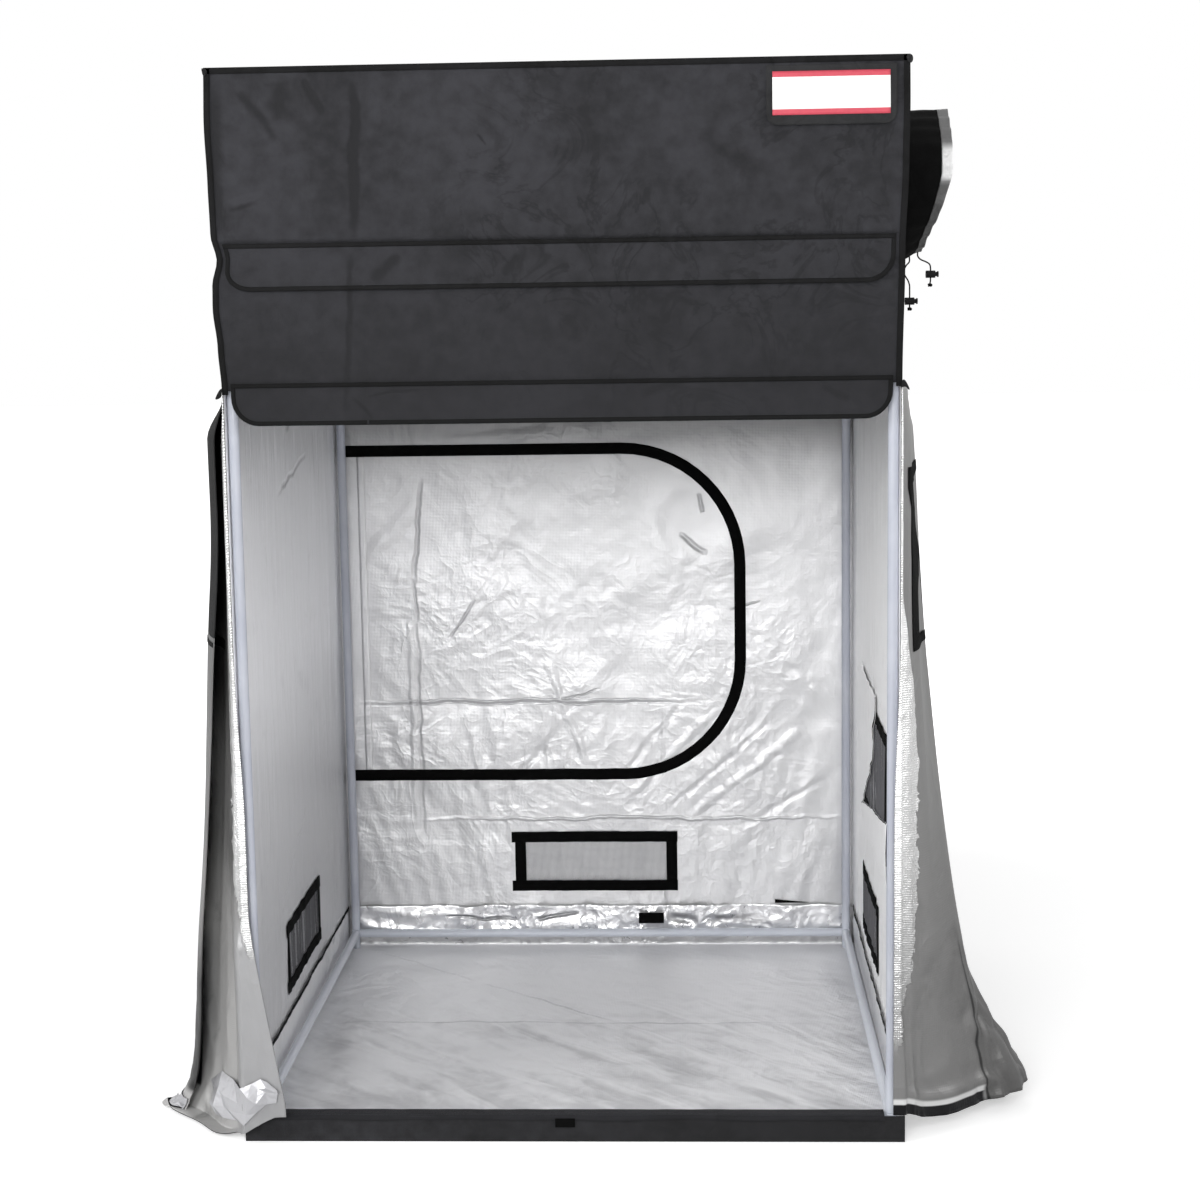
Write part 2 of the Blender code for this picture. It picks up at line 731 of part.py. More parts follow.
tray_x = INNER_X - CLEAR
tray_y = INNER_Y - CLEAR
tray_top = TRAY_Z + LINER
lap_half = POST_X - TUBE_RADIUS - TRAY_POST_GAP
lap_z = SILL_HEIGHT + CLEAR
rise_y = TUBE_RADIUS + CLEAR - POST_Y
tray_profile = [
    (-tray_y, TRAY_Z), (tray_y, TRAY_Z), (tray_y, tray_top), (rise_y + LINER, tray_top),
    (rise_y + LINER, lap_z + LINER), (-HALF_Y, lap_z + LINER), (-HALF_Y, lap_z),
    (rise_y, lap_z), (rise_y, tray_top), (-tray_y, tray_top),
]
half_liner = LINER / 2
edge_x = tray_x - half_liner
edge_y = tray_y - half_liner
low_z = TRAY_Z + half_liner
tray = outline_plate("floor_tray", tray_profile, 2 * lap_half, facing((1, 0, 0)), SILVER_CLOTH)
join(tray, [
    box("tray_floor", (-edge_x, -edge_y, TRAY_Z), (edge_x, edge_y, tray_top)),
    box("tray_left", (-tray_x, -tray_y, low_z), (LINER - tray_x, edge_y, TRAY_UPSTAND)),
    box("tray_right", (tray_x - LINER, -tray_y, low_z), (tray_x, edge_y, TRAY_UPSTAND)),
    box("tray_back", (-edge_x, tray_y - LINER, low_z), (edge_x, tray_y, TRAY_UPSTAND)),
])


# The duct sleeve stands out of the right wall, longer above than below

def sleeve_point(angle, share):
    """A point of the sleeve's middle surface. The angle is measured from the top."""
    up = math.cos(angle)
    middle_length = (DUCT_TOP_LENGTH + DUCT_BOTTOM_LENGTH) / 2
    length = middle_length + (DUCT_TOP_LENGTH - DUCT_BOTTOM_LENGTH) / 2 * up
    radius = DUCT_RADIUS + DUCT_FOLD * share * math.sin(DUCT_FOLDS * angle)
    sag = DUCT_SAG * math.sin(math.pi * share) ** 2 * max(0.0, -up)
    return Vector((
        HALF_X + CLEAR + length * share,
        radius * math.sin(angle),
        DUCT_HEIGHT + radius * up - sag,
    ))


sleeve_rings = [
    [sleeve_point(2 * math.pi * i / DUCT_SIDES, ring / DUCT_RINGS) for i in range(DUCT_SIDES)]
    for ring in range(DUCT_RINGS + 1)
]
loft("duct_sleeve", sleeve_rings, True, CANVAS, CANVAS_BLACK)


# Two draw cords come out of the sleeve's hem and carry a spring lock each.
# Their points are measured from the middle of the sleeve's root on the wall.

OUTER_CORD_ROUTE = (
    (0.0790, -0.006, -0.1510), (0.0850, -0.006, -0.1580), (0.0960, -0.006, -0.1630),
    (0.1030, -0.006, -0.1680), (0.1050, -0.006, -0.1760), (0.1050, -0.006, -0.1880),
    (0.1050, -0.006, -0.2010), (0.1040, -0.006, -0.2070),
)
INNER_CORD_ROUTE = (
    (0.0630, 0.006, -0.1620), (0.0565, 0.006, -0.1700), (0.0525, 0.006, -0.1800),
    (0.0545, 0.006, -0.1900), (0.0600, 0.006, -0.1990), (0.0635, 0.006, -0.2090),
    (0.0640, 0.006, -0.2200), (0.0640, 0.006, -0.2420), (0.0640, 0.006, -0.2550),
)
SLEEVE_ROOT = Vector((HALF_X, 0.0, DUCT_HEIGHT))
OUTER_LOCK = SLEEVE_ROOT + Vector(OUTER_CORD_ROUTE[-3])
INNER_LOCK = SLEEVE_ROOT + Vector(INNER_CORD_ROUTE[-2])
CORD_STEP_SHARE = 2.5


def sleeve_underside(x, y):
    """Where a cord at this place leaves the sleeve, clear of the cloth all round the cord."""
    reach = CORD_DIAMETER / 2
    angle = math.pi - y / DUCT_RADIUS
    heights = []
    for step in (-reach, reach):
        ring = (x + step - HALF_X - CLEAR) / DUCT_BOTTOM_LENGTH * DUCT_RINGS
        before = sleeve_point(angle, math.floor(ring) / DUCT_RINGS)
        after = sleeve_point(angle, math.ceil(ring) / DUCT_RINGS)
        heights.append(before.lerp(after, ring - math.floor(ring)).z)
    return Vector((x, y, min(heights) - CANVAS / 2 - 2 * CLEAR))


def cord(name, route):
    points = [SLEEVE_ROOT + Vector(point) for point in route]
    points.insert(0, sleeve_underside(points[0].x, points[0].y))
    points = smooth_route(points, CORD_STEP_SHARE * CORD_DIAMETER)
    curve = bpy.data.curves.new(name, "CURVE")
    curve.dimensions = "3D"
    curve.bevel_depth = CORD_DIAMETER / 2
    curve.bevel_resolution = 2
    curve.use_fill_caps = True
    spline = curve.splines.new("POLY")
    spline.points.add(len(points) - 1)
    for point, spot in zip(spline.points, points):
        point.co = (*spot, 1.0)
    curve.materials.append(TAPE_BLACK)
    made = bpy.data.objects.new(name, curve)
    PARTS.objects.link(made)
    return made


def cord_lock(name, centre):
    """A barrel with a sprung plunger. The cord runs down through both."""
    half = LOCK_LENGTH / 2
    along = Vector((1, 0, 0))
    up = Vector((0, 0, 1))
    barrel = rod(name, LOCK_DIAMETER / 2, centre - half * along, centre + half * along,
                 "X", LOCK_SIDES, PLASTIC_BLACK)
    bore_start = centre + (LOCK_FLOOR - half) * along
    bore = rod(name + "_bore", PLUNGER_DIAMETER / 2 + PLUNGER_CLEAR, bore_start,
               centre + (half + OVERRUN) * along, "X", LOCK_SIDES)
    hole = rod(name + "_cord_hole", CORD_HOLE / 2, centre - (half + OVERRUN) * up,
               centre + (half + OVERRUN) * up, "Z", SPIGOT_SIDES)
    cut(barrel, [bore, hole])
    stem_start = bore_start + (PLUNGER_TRAVEL + CLEAR) * along
    cap_start = centre + (half + PLUNGER_TRAVEL + CLEAR) * along
    plunger = rod(name + "_plunger", PLUNGER_DIAMETER / 2, stem_start,
                  cap_start + CLEAR * along, "X", LOCK_SIDES, PLASTIC_BLACK)
    join(plunger, [rod(name + "_cap", PLUNGER_CAP / 2, cap_start,
                       cap_start + PLUNGER_CAP_THICK * along, "X", LOCK_SIDES)])
    slot = CORD_HOLE / 2
    cut(plunger, [box(name + "_slot",
                      centre - Vector((slot, slot, half)),
                      centre + Vector((slot + PLUNGER_TRAVEL, slot, half)))])
    return barrel, plunger


cord("outer_draw_cord", OUTER_CORD_ROUTE)
cord("inner_draw_cord", INNER_CORD_ROUTE)
cord_lock("outer_cord_lock", OUTER_LOCK)
cord_lock("inner_cord_lock", INNER_LOCK)
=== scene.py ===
"""Indoor grow tent: black canvas with a silver lining on a white steel frame, open at the front."""

import math

import bpy
import numpy as np
from mathutils import Matrix, Vector, noise


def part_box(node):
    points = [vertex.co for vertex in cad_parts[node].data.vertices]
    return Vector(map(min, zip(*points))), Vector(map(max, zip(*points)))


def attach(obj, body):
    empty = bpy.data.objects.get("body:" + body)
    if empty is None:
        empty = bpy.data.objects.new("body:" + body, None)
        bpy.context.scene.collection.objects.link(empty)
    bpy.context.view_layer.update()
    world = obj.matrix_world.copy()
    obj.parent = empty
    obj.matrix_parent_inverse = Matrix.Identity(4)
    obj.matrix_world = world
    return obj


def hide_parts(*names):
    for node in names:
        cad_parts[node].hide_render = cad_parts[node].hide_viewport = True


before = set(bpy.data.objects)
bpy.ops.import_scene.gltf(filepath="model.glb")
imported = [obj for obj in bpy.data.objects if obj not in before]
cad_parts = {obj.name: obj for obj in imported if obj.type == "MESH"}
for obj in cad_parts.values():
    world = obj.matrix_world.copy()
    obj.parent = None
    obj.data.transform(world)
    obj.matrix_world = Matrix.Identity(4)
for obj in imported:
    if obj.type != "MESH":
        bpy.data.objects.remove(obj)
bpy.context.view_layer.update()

scene = bpy.context.scene


# The view: the camera stands 3.9 m in front of the tent, a little to its right and at shoulder
# height, and looks slightly down.

CAMERA_PLACE = Vector((0.2351, -4.481, 1.5631))
CAMERA_YAW = math.radians(-2.509)
CAMERA_DOWN = math.radians(7.905)
CAMERA_ROLL = math.radians(-0.876)
SENSOR = 36.0
LENS_PIXELS = 2153.8
IMAGE_PIXELS = 1200

ahead = Vector((
    math.sin(CAMERA_YAW) * math.cos(CAMERA_DOWN),
    math.cos(CAMERA_YAW) * math.cos(CAMERA_DOWN),
    -math.sin(CAMERA_DOWN),
))
level = Vector((math.cos(CAMERA_YAW), -math.sin(CAMERA_YAW), 0.0))
above = level.cross(ahead)
right = math.cos(CAMERA_ROLL) * level + math.sin(CAMERA_ROLL) * above
up = math.cos(CAMERA_ROLL) * above - math.sin(CAMERA_ROLL) * level
lens = bpy.data.cameras.new("camera")
lens.sensor_width = SENSOR
lens.lens = LENS_PIXELS / IMAGE_PIXELS * SENSOR
camera = bpy.data.objects.new("camera", lens)
camera.matrix_world = Matrix.Translation(CAMERA_PLACE) @ Matrix((right, up, -ahead)).transposed().to_4x4()
scene.collection.objects.link(camera)
scene.camera = camera
scene.view_settings.view_transform = "Standard"


# Shader maths: a wire is the output of a node, and a finish makes all the nodes of one material.

class Wire:
    """A node's output that takes part in sums as a number does."""

    def __init__(self, finish, socket):
        self.finish = finish
        self.socket = socket

    def maths(self, operation, *values):
        return self.finish.node("Math", {"operation": operation}, values)

    def __add__(self, other):
        return self.maths("ADD", self, other)

    def __sub__(self, other):
        return self.maths("SUBTRACT", self, other)

    def __rsub__(self, other):
        return self.maths("SUBTRACT", other, self)

    def __mul__(self, other):
        return self.maths("MULTIPLY", self, other)

    def __pow__(self, other):
        return self.maths("POWER", self, other)

    def __abs__(self):
        return self.maths("ABSOLUTE", self)

    __radd__ = __add__
    __rmul__ = __mul__

    def sine(self):
        return self.maths("SINE", self)

    def axis(self, name):
        """One part, X, Y or Z, of a place."""
        return self.finish.node("SeparateXYZ", {}, (self,), name)

    def band(self, low, high):
        """0 below low and 1 above high, with a smooth step between."""
        settings = {"interpolation_type": "SMOOTHSTEP"}
        return self.finish.node("MapRange", settings, {"Value": self, "From Min": low, "From Max": high})


class Finish:
    """The nodes of one material, or of the world."""

    def __init__(self, owner):
        self.owner = owner
        owner.use_nodes = True
        self.tree = owner.node_tree
        self.shader = self.tree.nodes.get("Principled BSDF")

    def put(self, socket, value):
        if isinstance(value, Wire):
            self.tree.links.new(value.socket, socket)
        elif isinstance(value, tuple) and len(value) == 3 and socket.type == "RGBA":
            socket.default_value = (*value, 1.0)
        else:
            socket.default_value = value

    def node(self, kind, settings, values, output=0):
        """Make a node with its settings, fill its sockets and give one output as a wire."""
        node = self.tree.nodes.new("ShaderNode" + kind)
        for name, value in settings.items():
            if name == "stops":
                for place, colour in value[1:-1]:
                    node.color_ramp.elements.new(place).color = (*colour, 1.0)
                for index in (0, -1):
                    node.color_ramp.elements[index].position = value[index][0]
                    node.color_ramp.elements[index].color = (*value[index][1], 1.0)
            else:
                setattr(node, name, value)
        pairs = values.items() if isinstance(values, dict) else enumerate(values)
        for key, value in pairs:
            self.put(node.inputs[key], value)
        return Wire(self, node.outputs[output])

    def where(self, kind="Object"):
        """The place of each point on its object, or in its UV map."""
        return self.node("TexCoord", {}, {}, kind)

    def mix(self, share, first, second):
        return self.node("Mix", {"data_type": "RGBA"}, {0: share, 6: first, 7: second}, 2)

    def noise(self, place, scale, detail=3.0, roughness=0.5, warp=0.0, output=0):
        values = {"Vector": place, "Scale": scale, "Detail": detail, "Roughness": roughness,
                  "Distortion": warp}
        return self.node("TexNoise", {}, values, output)

    def ramp(self, height, top, rows):
        """A level or colour that runs through (height, value) rows, up to a top height."""
        stops = [(z / top, value if isinstance(value, tuple) else (value,) * 3) for z, value in rows]
        return self.node("ValToRGB", {"stops": stops}, (height * (1 / top),))

    def cells(self, place, scale):
        return self.node("TexVoronoi", {}, {"Vector": place, "Scale": scale}, "Distance")

    def vector(self, operation, *values, output=0):
        return self.node("VectorMath", {"operation": operation}, values, output)

    def strokes(self, place, rows, axes):
        """Soft, slightly bent lines in the plane of two axes: (a, b) to (a, b), width and strength."""
        swing = 0.012
        bend = self.noise(place, 14.0, 3.0, output="Color")
        bent = self.vector("MULTIPLY_ADD", bend, (2 * swing,) * 3, place)
        bent = self.vector("MULTIPLY", bent, tuple(float(axis in axes) for axis in range(3)))
        total = 0.0
        for first, last, width, strength in rows:
            start, run = Vector(), Vector()
            for axis, a, b in zip(axes, first, last):
                start[axis], run[axis] = a + swing, b - a
            reach = self.vector("SUBTRACT", bent, tuple(start))
            share = self.vector("DOT_PRODUCT", reach, tuple(run / run.length_squared), output="Value")
            share = self.node("Math", {"operation": "ADD", "use_clamp": True}, (share, 0.0))
            nearest = self.node("VectorMath", {"operation": "SCALE"}, {0: tuple(run), "Scale": share})
            away = self.vector("DISTANCE", reach, nearest, output="Value")
            line = (1.0 - away * (1 / width)).band(0.0, 1.0) * (1.0 - abs(share * 2.0 - 1.0) ** 4.0)
            total = line * strength + total
        return total

    def shape(self, colour, roughness, height=None, depth=0.001, **others):
        """Fill the main shader. Height is a wire in shares of depth."""
        self.put(self.shader.inputs["Base Color"], colour)
        self.put(self.shader.inputs["Roughness"], roughness)
        for name, value in others.items():
            self.put(self.shader.inputs[name.replace("_", " ")], value)
        if height is not None:
            bump = self.node("Bump", {}, {"Strength": 1.0, "Distance": depth, "Height": height})
            self.put(self.shader.inputs["Normal"], bump)
        return self.owner


def new_finish(name):
    return Finish(bpy.data.materials.new(name))


# The studio: a white surround that the camera and the metal see, a pale floor that takes the
# tent's shadow, a broad soft lamp above the camera and a weaker one to each side.

WORLD_LIGHT = 0.40
FLOOR_SIZE = 60.0
FLOOR_DROP = 0.0006
FLOOR_COLOUR = (0.86, 0.86, 0.86)
FLOOR_LIFT = (0.42, 0.42, 0.42)
FAR_FLOOR = (1.7, 3.2)
LAMPS = (
    ("key_lamp", (-0.8, -5.2, 2.5), 2.0, 135.0),
    ("left_lamp", (-4.2, -2.6, 2.6), 2.4, 105.0),
    ("right_lamp", (4.4, -2.4, 2.4), 2.4, 62.0),
    ("back_lamp", (0.0, 5.0, 3.2), 3.0, 70.0),
)
TENT_MIDDLE = Vector((0.0, 0.0, 0.9))

surround = Finish(bpy.data.worlds.new("surround"))
scene.world = surround.owner
seen = surround.node("LightPath", {}, {}, "Is Camera Ray")
seen = seen + surround.node("LightPath", {}, {}, "Is Glossy Ray")
seen = (seen + surround.node("LightPath", {}, {}, "Is Transmission Ray")).band(0.0, 1.0)
background = surround.tree.nodes["Background"]
background.inputs["Color"].default_value = (1.0, 1.0, 1.0, 1.0)
surround.put(background.inputs["Strength"], seen * (1.0 - WORLD_LIGHT) + WORLD_LIGHT)

for name, place, size, power in LAMPS:
    lamp = bpy.data.lights.new(name, "AREA")
    lamp.size = size
    lamp.energy = power
    holder = bpy.data.objects.new(name, lamp)
    holder.location = place
    holder.rotation_euler = (TENT_MIDDLE - Vector(place)).to_track_quat("-Z", "Y").to_euler()
    scene.collection.objects.link(holder)

bpy.ops.object.select_all(action="DESELECT")
bpy.ops.mesh.primitive_plane_add(size=FLOOR_SIZE, location=(0, 0, -FLOOR_DROP))
floor = bpy.context.object
floor.name = "studio_floor"
paint = new_finish("studio_floor")
camera_ray = paint.node("LightPath", {}, {}, "Is Camera Ray")
spot = paint.where()
reach = paint.node("VectorMath", {"operation": "LENGTH"}, (spot,), "Value").band(*FAR_FLOOR)
lift = paint.mix(camera_ray, (0.0, 0.0, 0.0), paint.mix(reach, FLOOR_LIFT, (1.0, 1.0, 1.0)))
floor.data.materials.append(paint.shape(FLOOR_COLOUR, 0.9, Emission_Color=lift, Emission_Strength=1.0))


# Draw cords: two braided polyester cords, 3 mm thick, that close the duct sleeve. They come out
# of its hem, hang limp and end in a knot below a spring lock.

CORD_DIAMETER = 0.003
HALF_WIDTH = 0.620
SLEEVE_ROOT = Vector((HALF_WIDTH, 0.0, 1.795))
OUTER_CORD_ROUTE = (
    (0.0790, -0.006, -0.1510), (0.0850, -0.006, -0.1580), (0.0960, -0.006, -0.1630),
    (0.1030, -0.006, -0.1680), (0.1050, -0.006, -0.1760), (0.1050, -0.006, -0.1880),
    (0.1050, -0.006, -0.2010), (0.1040, -0.006, -0.2070),
)
INNER_CORD_ROUTE = (
    (0.0630, 0.006, -0.1620), (0.0565, 0.006, -0.1700), (0.0525, 0.006, -0.1800),
    (0.0545, 0.006, -0.1900), (0.0600, 0.006, -0.1990), (0.0635, 0.006, -0.2090),
    (0.0640, 0.006, -0.2200), (0.0640, 0.006, -0.2420), (0.0640, 0.006, -0.2550),
)
CORD_STEPS = 8


def smooth_line(points, steps):
    """Points on one smooth curve through the given ones."""
    ends = [2 * points[0] - points[1]] + points + [2 * points[-1] - points[-2]]
    line = []
    for a, b, c, d in zip(ends, ends[1:], ends[2:], ends[3:]):
        for i in range(steps):
            t = i / steps
            line.append(0.5 * (2 * b + (c - a) * t + (2 * a - 5 * b + 4 * c - d) * t**2
                               + (3 * b - a - 3 * c + d) * t**3))
    return line + [points[-1]]


def cord_curve(name, points, diameter, finish):
    """A round cord along a line of points."""
    curve = bpy.data.curves.new(name, "CURVE")
    curve.dimensions = "3D"
    curve.bevel_depth = diameter / 2
    curve.bevel_resolution = 4
    curve.use_fill_caps = True
    spline = curve.splines.new("POLY")
    spline.points.add(len(points) - 1)
    for point, spot in zip(spline.points, points):
        point.co = (*spot, 1.0)
    curve.materials.append(finish)
    made = bpy.data.objects.new(name, curve)
    scene.collection.objects.link(made)
    return made


def line_length(points):
    return sum((b - a).length for a, b in zip(points, points[1:]))


braid = new_finish("braided_cord")
spot = braid.where()
level = spot.axis("Z")
strands = ((spot.axis("X") + level) * 3400.0).sine() * ((spot.axis("Y") - level) * 3400.0).sine()
CORD_BLACK = braid.shape(
    braid.mix(strands.band(-1.0, 1.0), (0.002, 0.002, 0.002), (0.008, 0.008, 0.009)),
    0.8, strands, 0.0002, Specular_IOR_Level=0.2)


def knot(name, centre, size):
    """An overhand knot: one closed loop of cord wound three times through itself."""
    turns = 36
    points = []
    for i in range(turns):
        angle = 2 * math.pi * i / turns
        spread = 1.0 + 0.5 * math.cos(3 * angle)
        points.append(centre + size * Vector((
            spread * math.cos(2 * angle), spread * math.sin(2 * angle), 0.8 * math.sin(3 * angle))))
    made = cord_curve(name, points, CORD_DIAMETER, CORD_BLACK)
    made.data.splines[0].use_cyclic_u = True
    made.data.use_fill_caps = False
    return made


for name, route in (("outer", OUTER_CORD_ROUTE), ("inner", INNER_CORD_ROUTE)):
    points = [SLEEVE_ROOT + Vector(point) for point in route]
    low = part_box(f"{name}_draw_cord")
    points.insert(0, Vector((points[0].x, points[0].y, low[1].z)))
    line = smooth_line(points, CORD_STEPS)
    piece = cord_curve(f"{name}_cord", line, CORD_DIAMETER, CORD_BLACK)
    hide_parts(f"{name}_draw_cord")
    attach(piece, "tent")
    end = knot(f"{name}_cord_knot", line[-1] - Vector((0, 0, 0.003)), 0.0026)
    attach(end, "tent")
    tuple(line[0])
    line_length(line)


# Steel frame: 20 mm tubes, powder coated white, with plugged corner fittings. They are as the
# frame gives them, and get the paint: faintly blue, orange-peel smooth, darker and greyer near the floor.

frame_paint = new_finish("white_painted_steel")
spot = frame_paint.where()
peel = frame_paint.noise(spot, 420.0, 2.0)
smear = frame_paint.noise(spot, 9.0, 4.0)
# The paint turns darker and greyer from 15 cm down to 6 cm above the floor.
foot = spot.axis("Z").band(0.15, 0.06)
low_tone = frame_paint.mix(smear.band(0.35, 0.7), (0.44, 0.46, 0.53), (0.50, 0.52, 0.58))
FRAME_WHITE = frame_paint.shape(
    frame_paint.mix(foot, low_tone, frame_paint.mix(smear, (0.56, 0.59, 0.66), (0.66, 0.69, 0.75))),
    smear * 0.16 + 0.26, peel, 0.00012, Metallic=0.0, Coat_Weight=0.3, Coat_Roughness=0.2)

FRAME_KINDS = ("post_", "extension_post_", "bottom_rail_", "top_rail_", "bottom_fitting_",
               "top_fitting_", "hanging_bar_")


def coat(node, finish):
    """Give a node of the frame its real finish."""
    node.data.materials.clear()
    node.data.materials.append(finish)


for name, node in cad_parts.items():
    if name.startswith(FRAME_KINDS):
        coat(node, FRAME_WHITE)


# Tent skin: 600-denier black canvas, laminated inside with silver film. The film is crumpled from
# packing and pressed with small diamonds, the canvas shows its weave, creases and soft wrinkles.
# Their shading is partly painted: creases, crests and tones by height carry painted shade and highlights.

HALF_DEPTH = 0.620
HEIGHT = 1.980
CANVAS = 0.0018
LINER = 0.0010
TAPE = 0.0008
WALL_CELL = 0.0105
EDGE_SEAM = 0.317


def ridge(value):
    """Sharp crests where a noise of 0 to 1 passes its middle."""
    return 1.0 - abs(value * 2.0 - 1.0)


def canvas_finish(name, dark, light, roughness=0.62, gloss=0.35, across_shade=0.0, crease_shading=()):
    cloth_paint = new_finish(name)
    uv = cloth_paint.where("UV")
    place = cloth_paint.where()
    across = uv.axis("X")
    along = uv.axis("Y")
    weave = (across * 5236.0).sine() * (along * 5236.0).sine()
    blotch = cloth_paint.noise(place, 3.2, 4.0)
    fine = cloth_paint.noise(place, 38.0, 5.0)
    pack = ridge(cloth_paint.noise(place, 7.5, 5.0, 0.6, 0.9))
    # Painted shade: the pack creases are painted darker.
    crease = pack.band(0.93, 1.0) * cloth_paint.noise(place, 2.1, 2.0).band(0.45, 0.62)
    # Painted shade: the canvas is painted darker from 1.85 m down to 1.30 m, and keeps a third of its tone
    # below.
    lit = place.axis("Z").band(1.30, 1.85) * 0.68 + 0.32
    shade = blotch * 0.6 + fine * 0.45 + weave * 0.05 - crease * 0.12
    # Painted shade across: with a share across, the canvas darkens towards +x and not by height.
    if across_shade:
        lit = 1.0 - place.axis("X").band(-0.5, 0.5) * across_shade
    height = weave * 0.16 + fine * 0.6 + pack * 1.2 + ridge(cloth_paint.noise(place, 21.0, 4.0)) * 1.3
    # Painted shade and highlights: the strokes darken or lighten the canvas along its creases.
    if crease_shading:
        wear_and_crease_shade = cloth_paint.strokes(place, crease_shading, (0, 2))
        shade = shade - wear_and_crease_shade
        height = height - wear_and_crease_shade * 3.0
    return cloth_paint.shape(
        cloth_paint.mix(shade.band(0.32, 0.72) * lit, dark, light), roughness + fine * 0.1,
        height, 0.0013, Specular_IOR_Level=gloss)


def silver_finish(name, dark, light, metal, roughness, crumple, depth=0.004, emboss=0.25, upright=0.0,
                  shade_by_height=(), crease_shading=(), axes=(0, 2), ripples=()):
    """Silver film: its tones, crumples, pleats and ripples, and a painted shade that darkens its tone
    by height. Crests, ripples and strokes are painted lighter and darker too.
    """
    foil = new_finish(name)
    uv = foil.where("UV")
    place = foil.where()
    across = uv.axis("X")
    along = uv.axis("Y")
    diamonds = ((across + along) * 900.0).sine() * ((across - along) * 900.0).sine()
    broad = ridge(foil.noise(place, crumple, 3.0, 0.55, 0.8))
    small = ridge(foil.noise(place, crumple * 3.7, 3.0, 0.5, 0.5))
    facets = foil.cells(place, crumple * 5.0)
    stain_and_pleat_shade = foil.noise(place, 4.0, 4.0)
    patchy = foil.noise(place, 2.3, 2.0).band(0.40, 0.62) * 0.75 + 0.25
    height = (broad * 2.2 + small * 0.7 + facets * 0.5) * patchy + diamonds * emboss * 0.12
    if upright:
        drawn = foil.node("Mapping", {}, {"Vector": place, "Scale": (1.0, 1.0, 0.05)})
        pleats = ridge(foil.noise(drawn, 26.0, 4.0, 0.6, 0.3)) + foil.noise(drawn, 90.0, 2.0) * 0.4
        height = height * (1.0 - upright) + pleats * upright * 2.2
        # The pleats are painted into the tone on top of a random stain: painted highlight on their crests.
        stain_and_pleat_shade = stain_and_pleat_shade * (1.0 - upright) + pleats * upright * 0.7
    # Painted shade and highlight: the crumple crests are painted lighter than their hollows.
    tone = stain_and_pleat_shade * 0.5 + small * 0.35 + broad * 0.25
    if ripples:
        turn, pace, strength, near, far = ripples
        turned = foil.node("Mapping", {"vector_type": "TEXTURE"},
                           {"Vector": place, "Rotation": (0.0, 0.0, turn), "Scale": (4.0, 1.0, 1.0)})
        inward = place.axis("Y")
        wave = (foil.noise(turned, pace, 2.0, 0.5, 0.6) - 0.5) * (1.0 - inward.band(near, far)) * strength
        # Painted shade and highlight: the ripples are lighter and darker bands in the tone.
        tone = tone + wave
        height = height + wave * 3.0
    if crease_shading:
        wear_and_crease_shade = foil.strokes(place, crease_shading, axes)
        # Painted shade and highlights: the strokes darken or lighten the film along creases and in broad
        # bands.
        tone = tone - wear_and_crease_shade
        height = height - wear_and_crease_shade * 2.0
    colour = foil.mix(tone.band(0.3, 0.85), dark, light)
    if shade_by_height:
        # Painted shade by height: the colour is multiplied by the table's level at each height.
        fall = foil.ramp(place.axis("Z"), HEIGHT, shade_by_height)
        colour = foil.node("Mix", {"data_type": "RGBA", "blend_type": "MULTIPLY"},
                           {0: 1.0, 6: colour, 7: fall}, 2)
    return foil.shape(colour, small * 0.12 + roughness, height, depth, Metallic=metal)


CANVAS_BLACK = canvas_finish("black_canvas", (0.006, 0.006, 0.008), (0.031, 0.031, 0.037))
TRIM_BLACK = canvas_finish("black_binding", (0.003, 0.003, 0.003), (0.011, 0.011, 0.012), 0.75, 0.18)
# Painted light: the back wall, the left wall and the rest of the skin are one film, toned lighter or darker
# for their light.
LINING_BACK = silver_finish(
    "silver_lining_back", (0.84, 0.84, 0.85), (0.96, 0.96, 0.97), 0.45, 0.30, 5.5,
    # Painted shadow: the back wall darkens under the header.
    shade_by_height=((0.0, 0.78), (0.45, 0.82), (0.80, 0.88), (1.08, 0.87), (1.18, 0.70), (1.26, 0.38),
          (1.34, 0.19), (1.50, 0.14)),
    # Painted shade along creases and painted highlights in broad bands.
    crease_shading=(((-0.437, 0.895), (-0.408, 1.154), 0.008, 0.45), ((-0.425, 0.80), (-0.440, 0.91), 0.006, 0.35),
             ((-0.353, 0.768), (-0.288, 0.855), 0.005, 0.40), ((0.200, 1.011), (0.268, 0.963), 0.009, 0.45),
             ((0.248, 1.106), (0.257, 1.063), 0.008, 0.45), ((0.322, 0.827), (0.394, 0.851), 0.004, 0.4),
             ((-0.088, 0.612), (0.008, 0.636), 0.004, 0.4), ((-0.550, 0.957), (-0.414, 1.099), 0.03, -0.4),
             ((-0.02, 1.20), (0.36, 1.23), 0.05, -0.35), ((-0.30, 1.26), (0.10, 1.30), 0.02, 0.3),
             ((-0.58, 0.612), (0.25, 0.612), 0.005, -0.4), ((-0.58, 0.604), (0.25, 0.604), 0.005, 0.3),
             ((-0.44, 0.322), (0.60, 0.320), 0.006, -0.45), ((-0.430, 0.82), (-0.425, 0.28), 0.007, 0.35),
             ((-0.446, 0.82), (-0.442, 0.28), 0.010, -0.35), ((0.02, 0.38), (0.22, 0.62), 0.012, 0.30),
             ((0.06, 0.36), (0.30, 0.60), 0.016, -0.40), ((0.16, 0.33), (0.42, 0.56), 0.012, 0.28),
             ((0.20, 0.31), (0.50, 0.54), 0.016, -0.40), ((-0.30, 0.40), (-0.20, 0.54), 0.03, -0.40),
             ((-0.24, 0.37), (-0.08, 0.56), 0.014, 0.28), ((-0.36, 0.17), (-0.22, 0.26), 0.05, -0.50),
             ((0.34, 0.30), (0.56, 0.42), 0.014, 0.26), ((-0.02, 0.44), (-0.12, 0.72), 0.014, -0.35)))
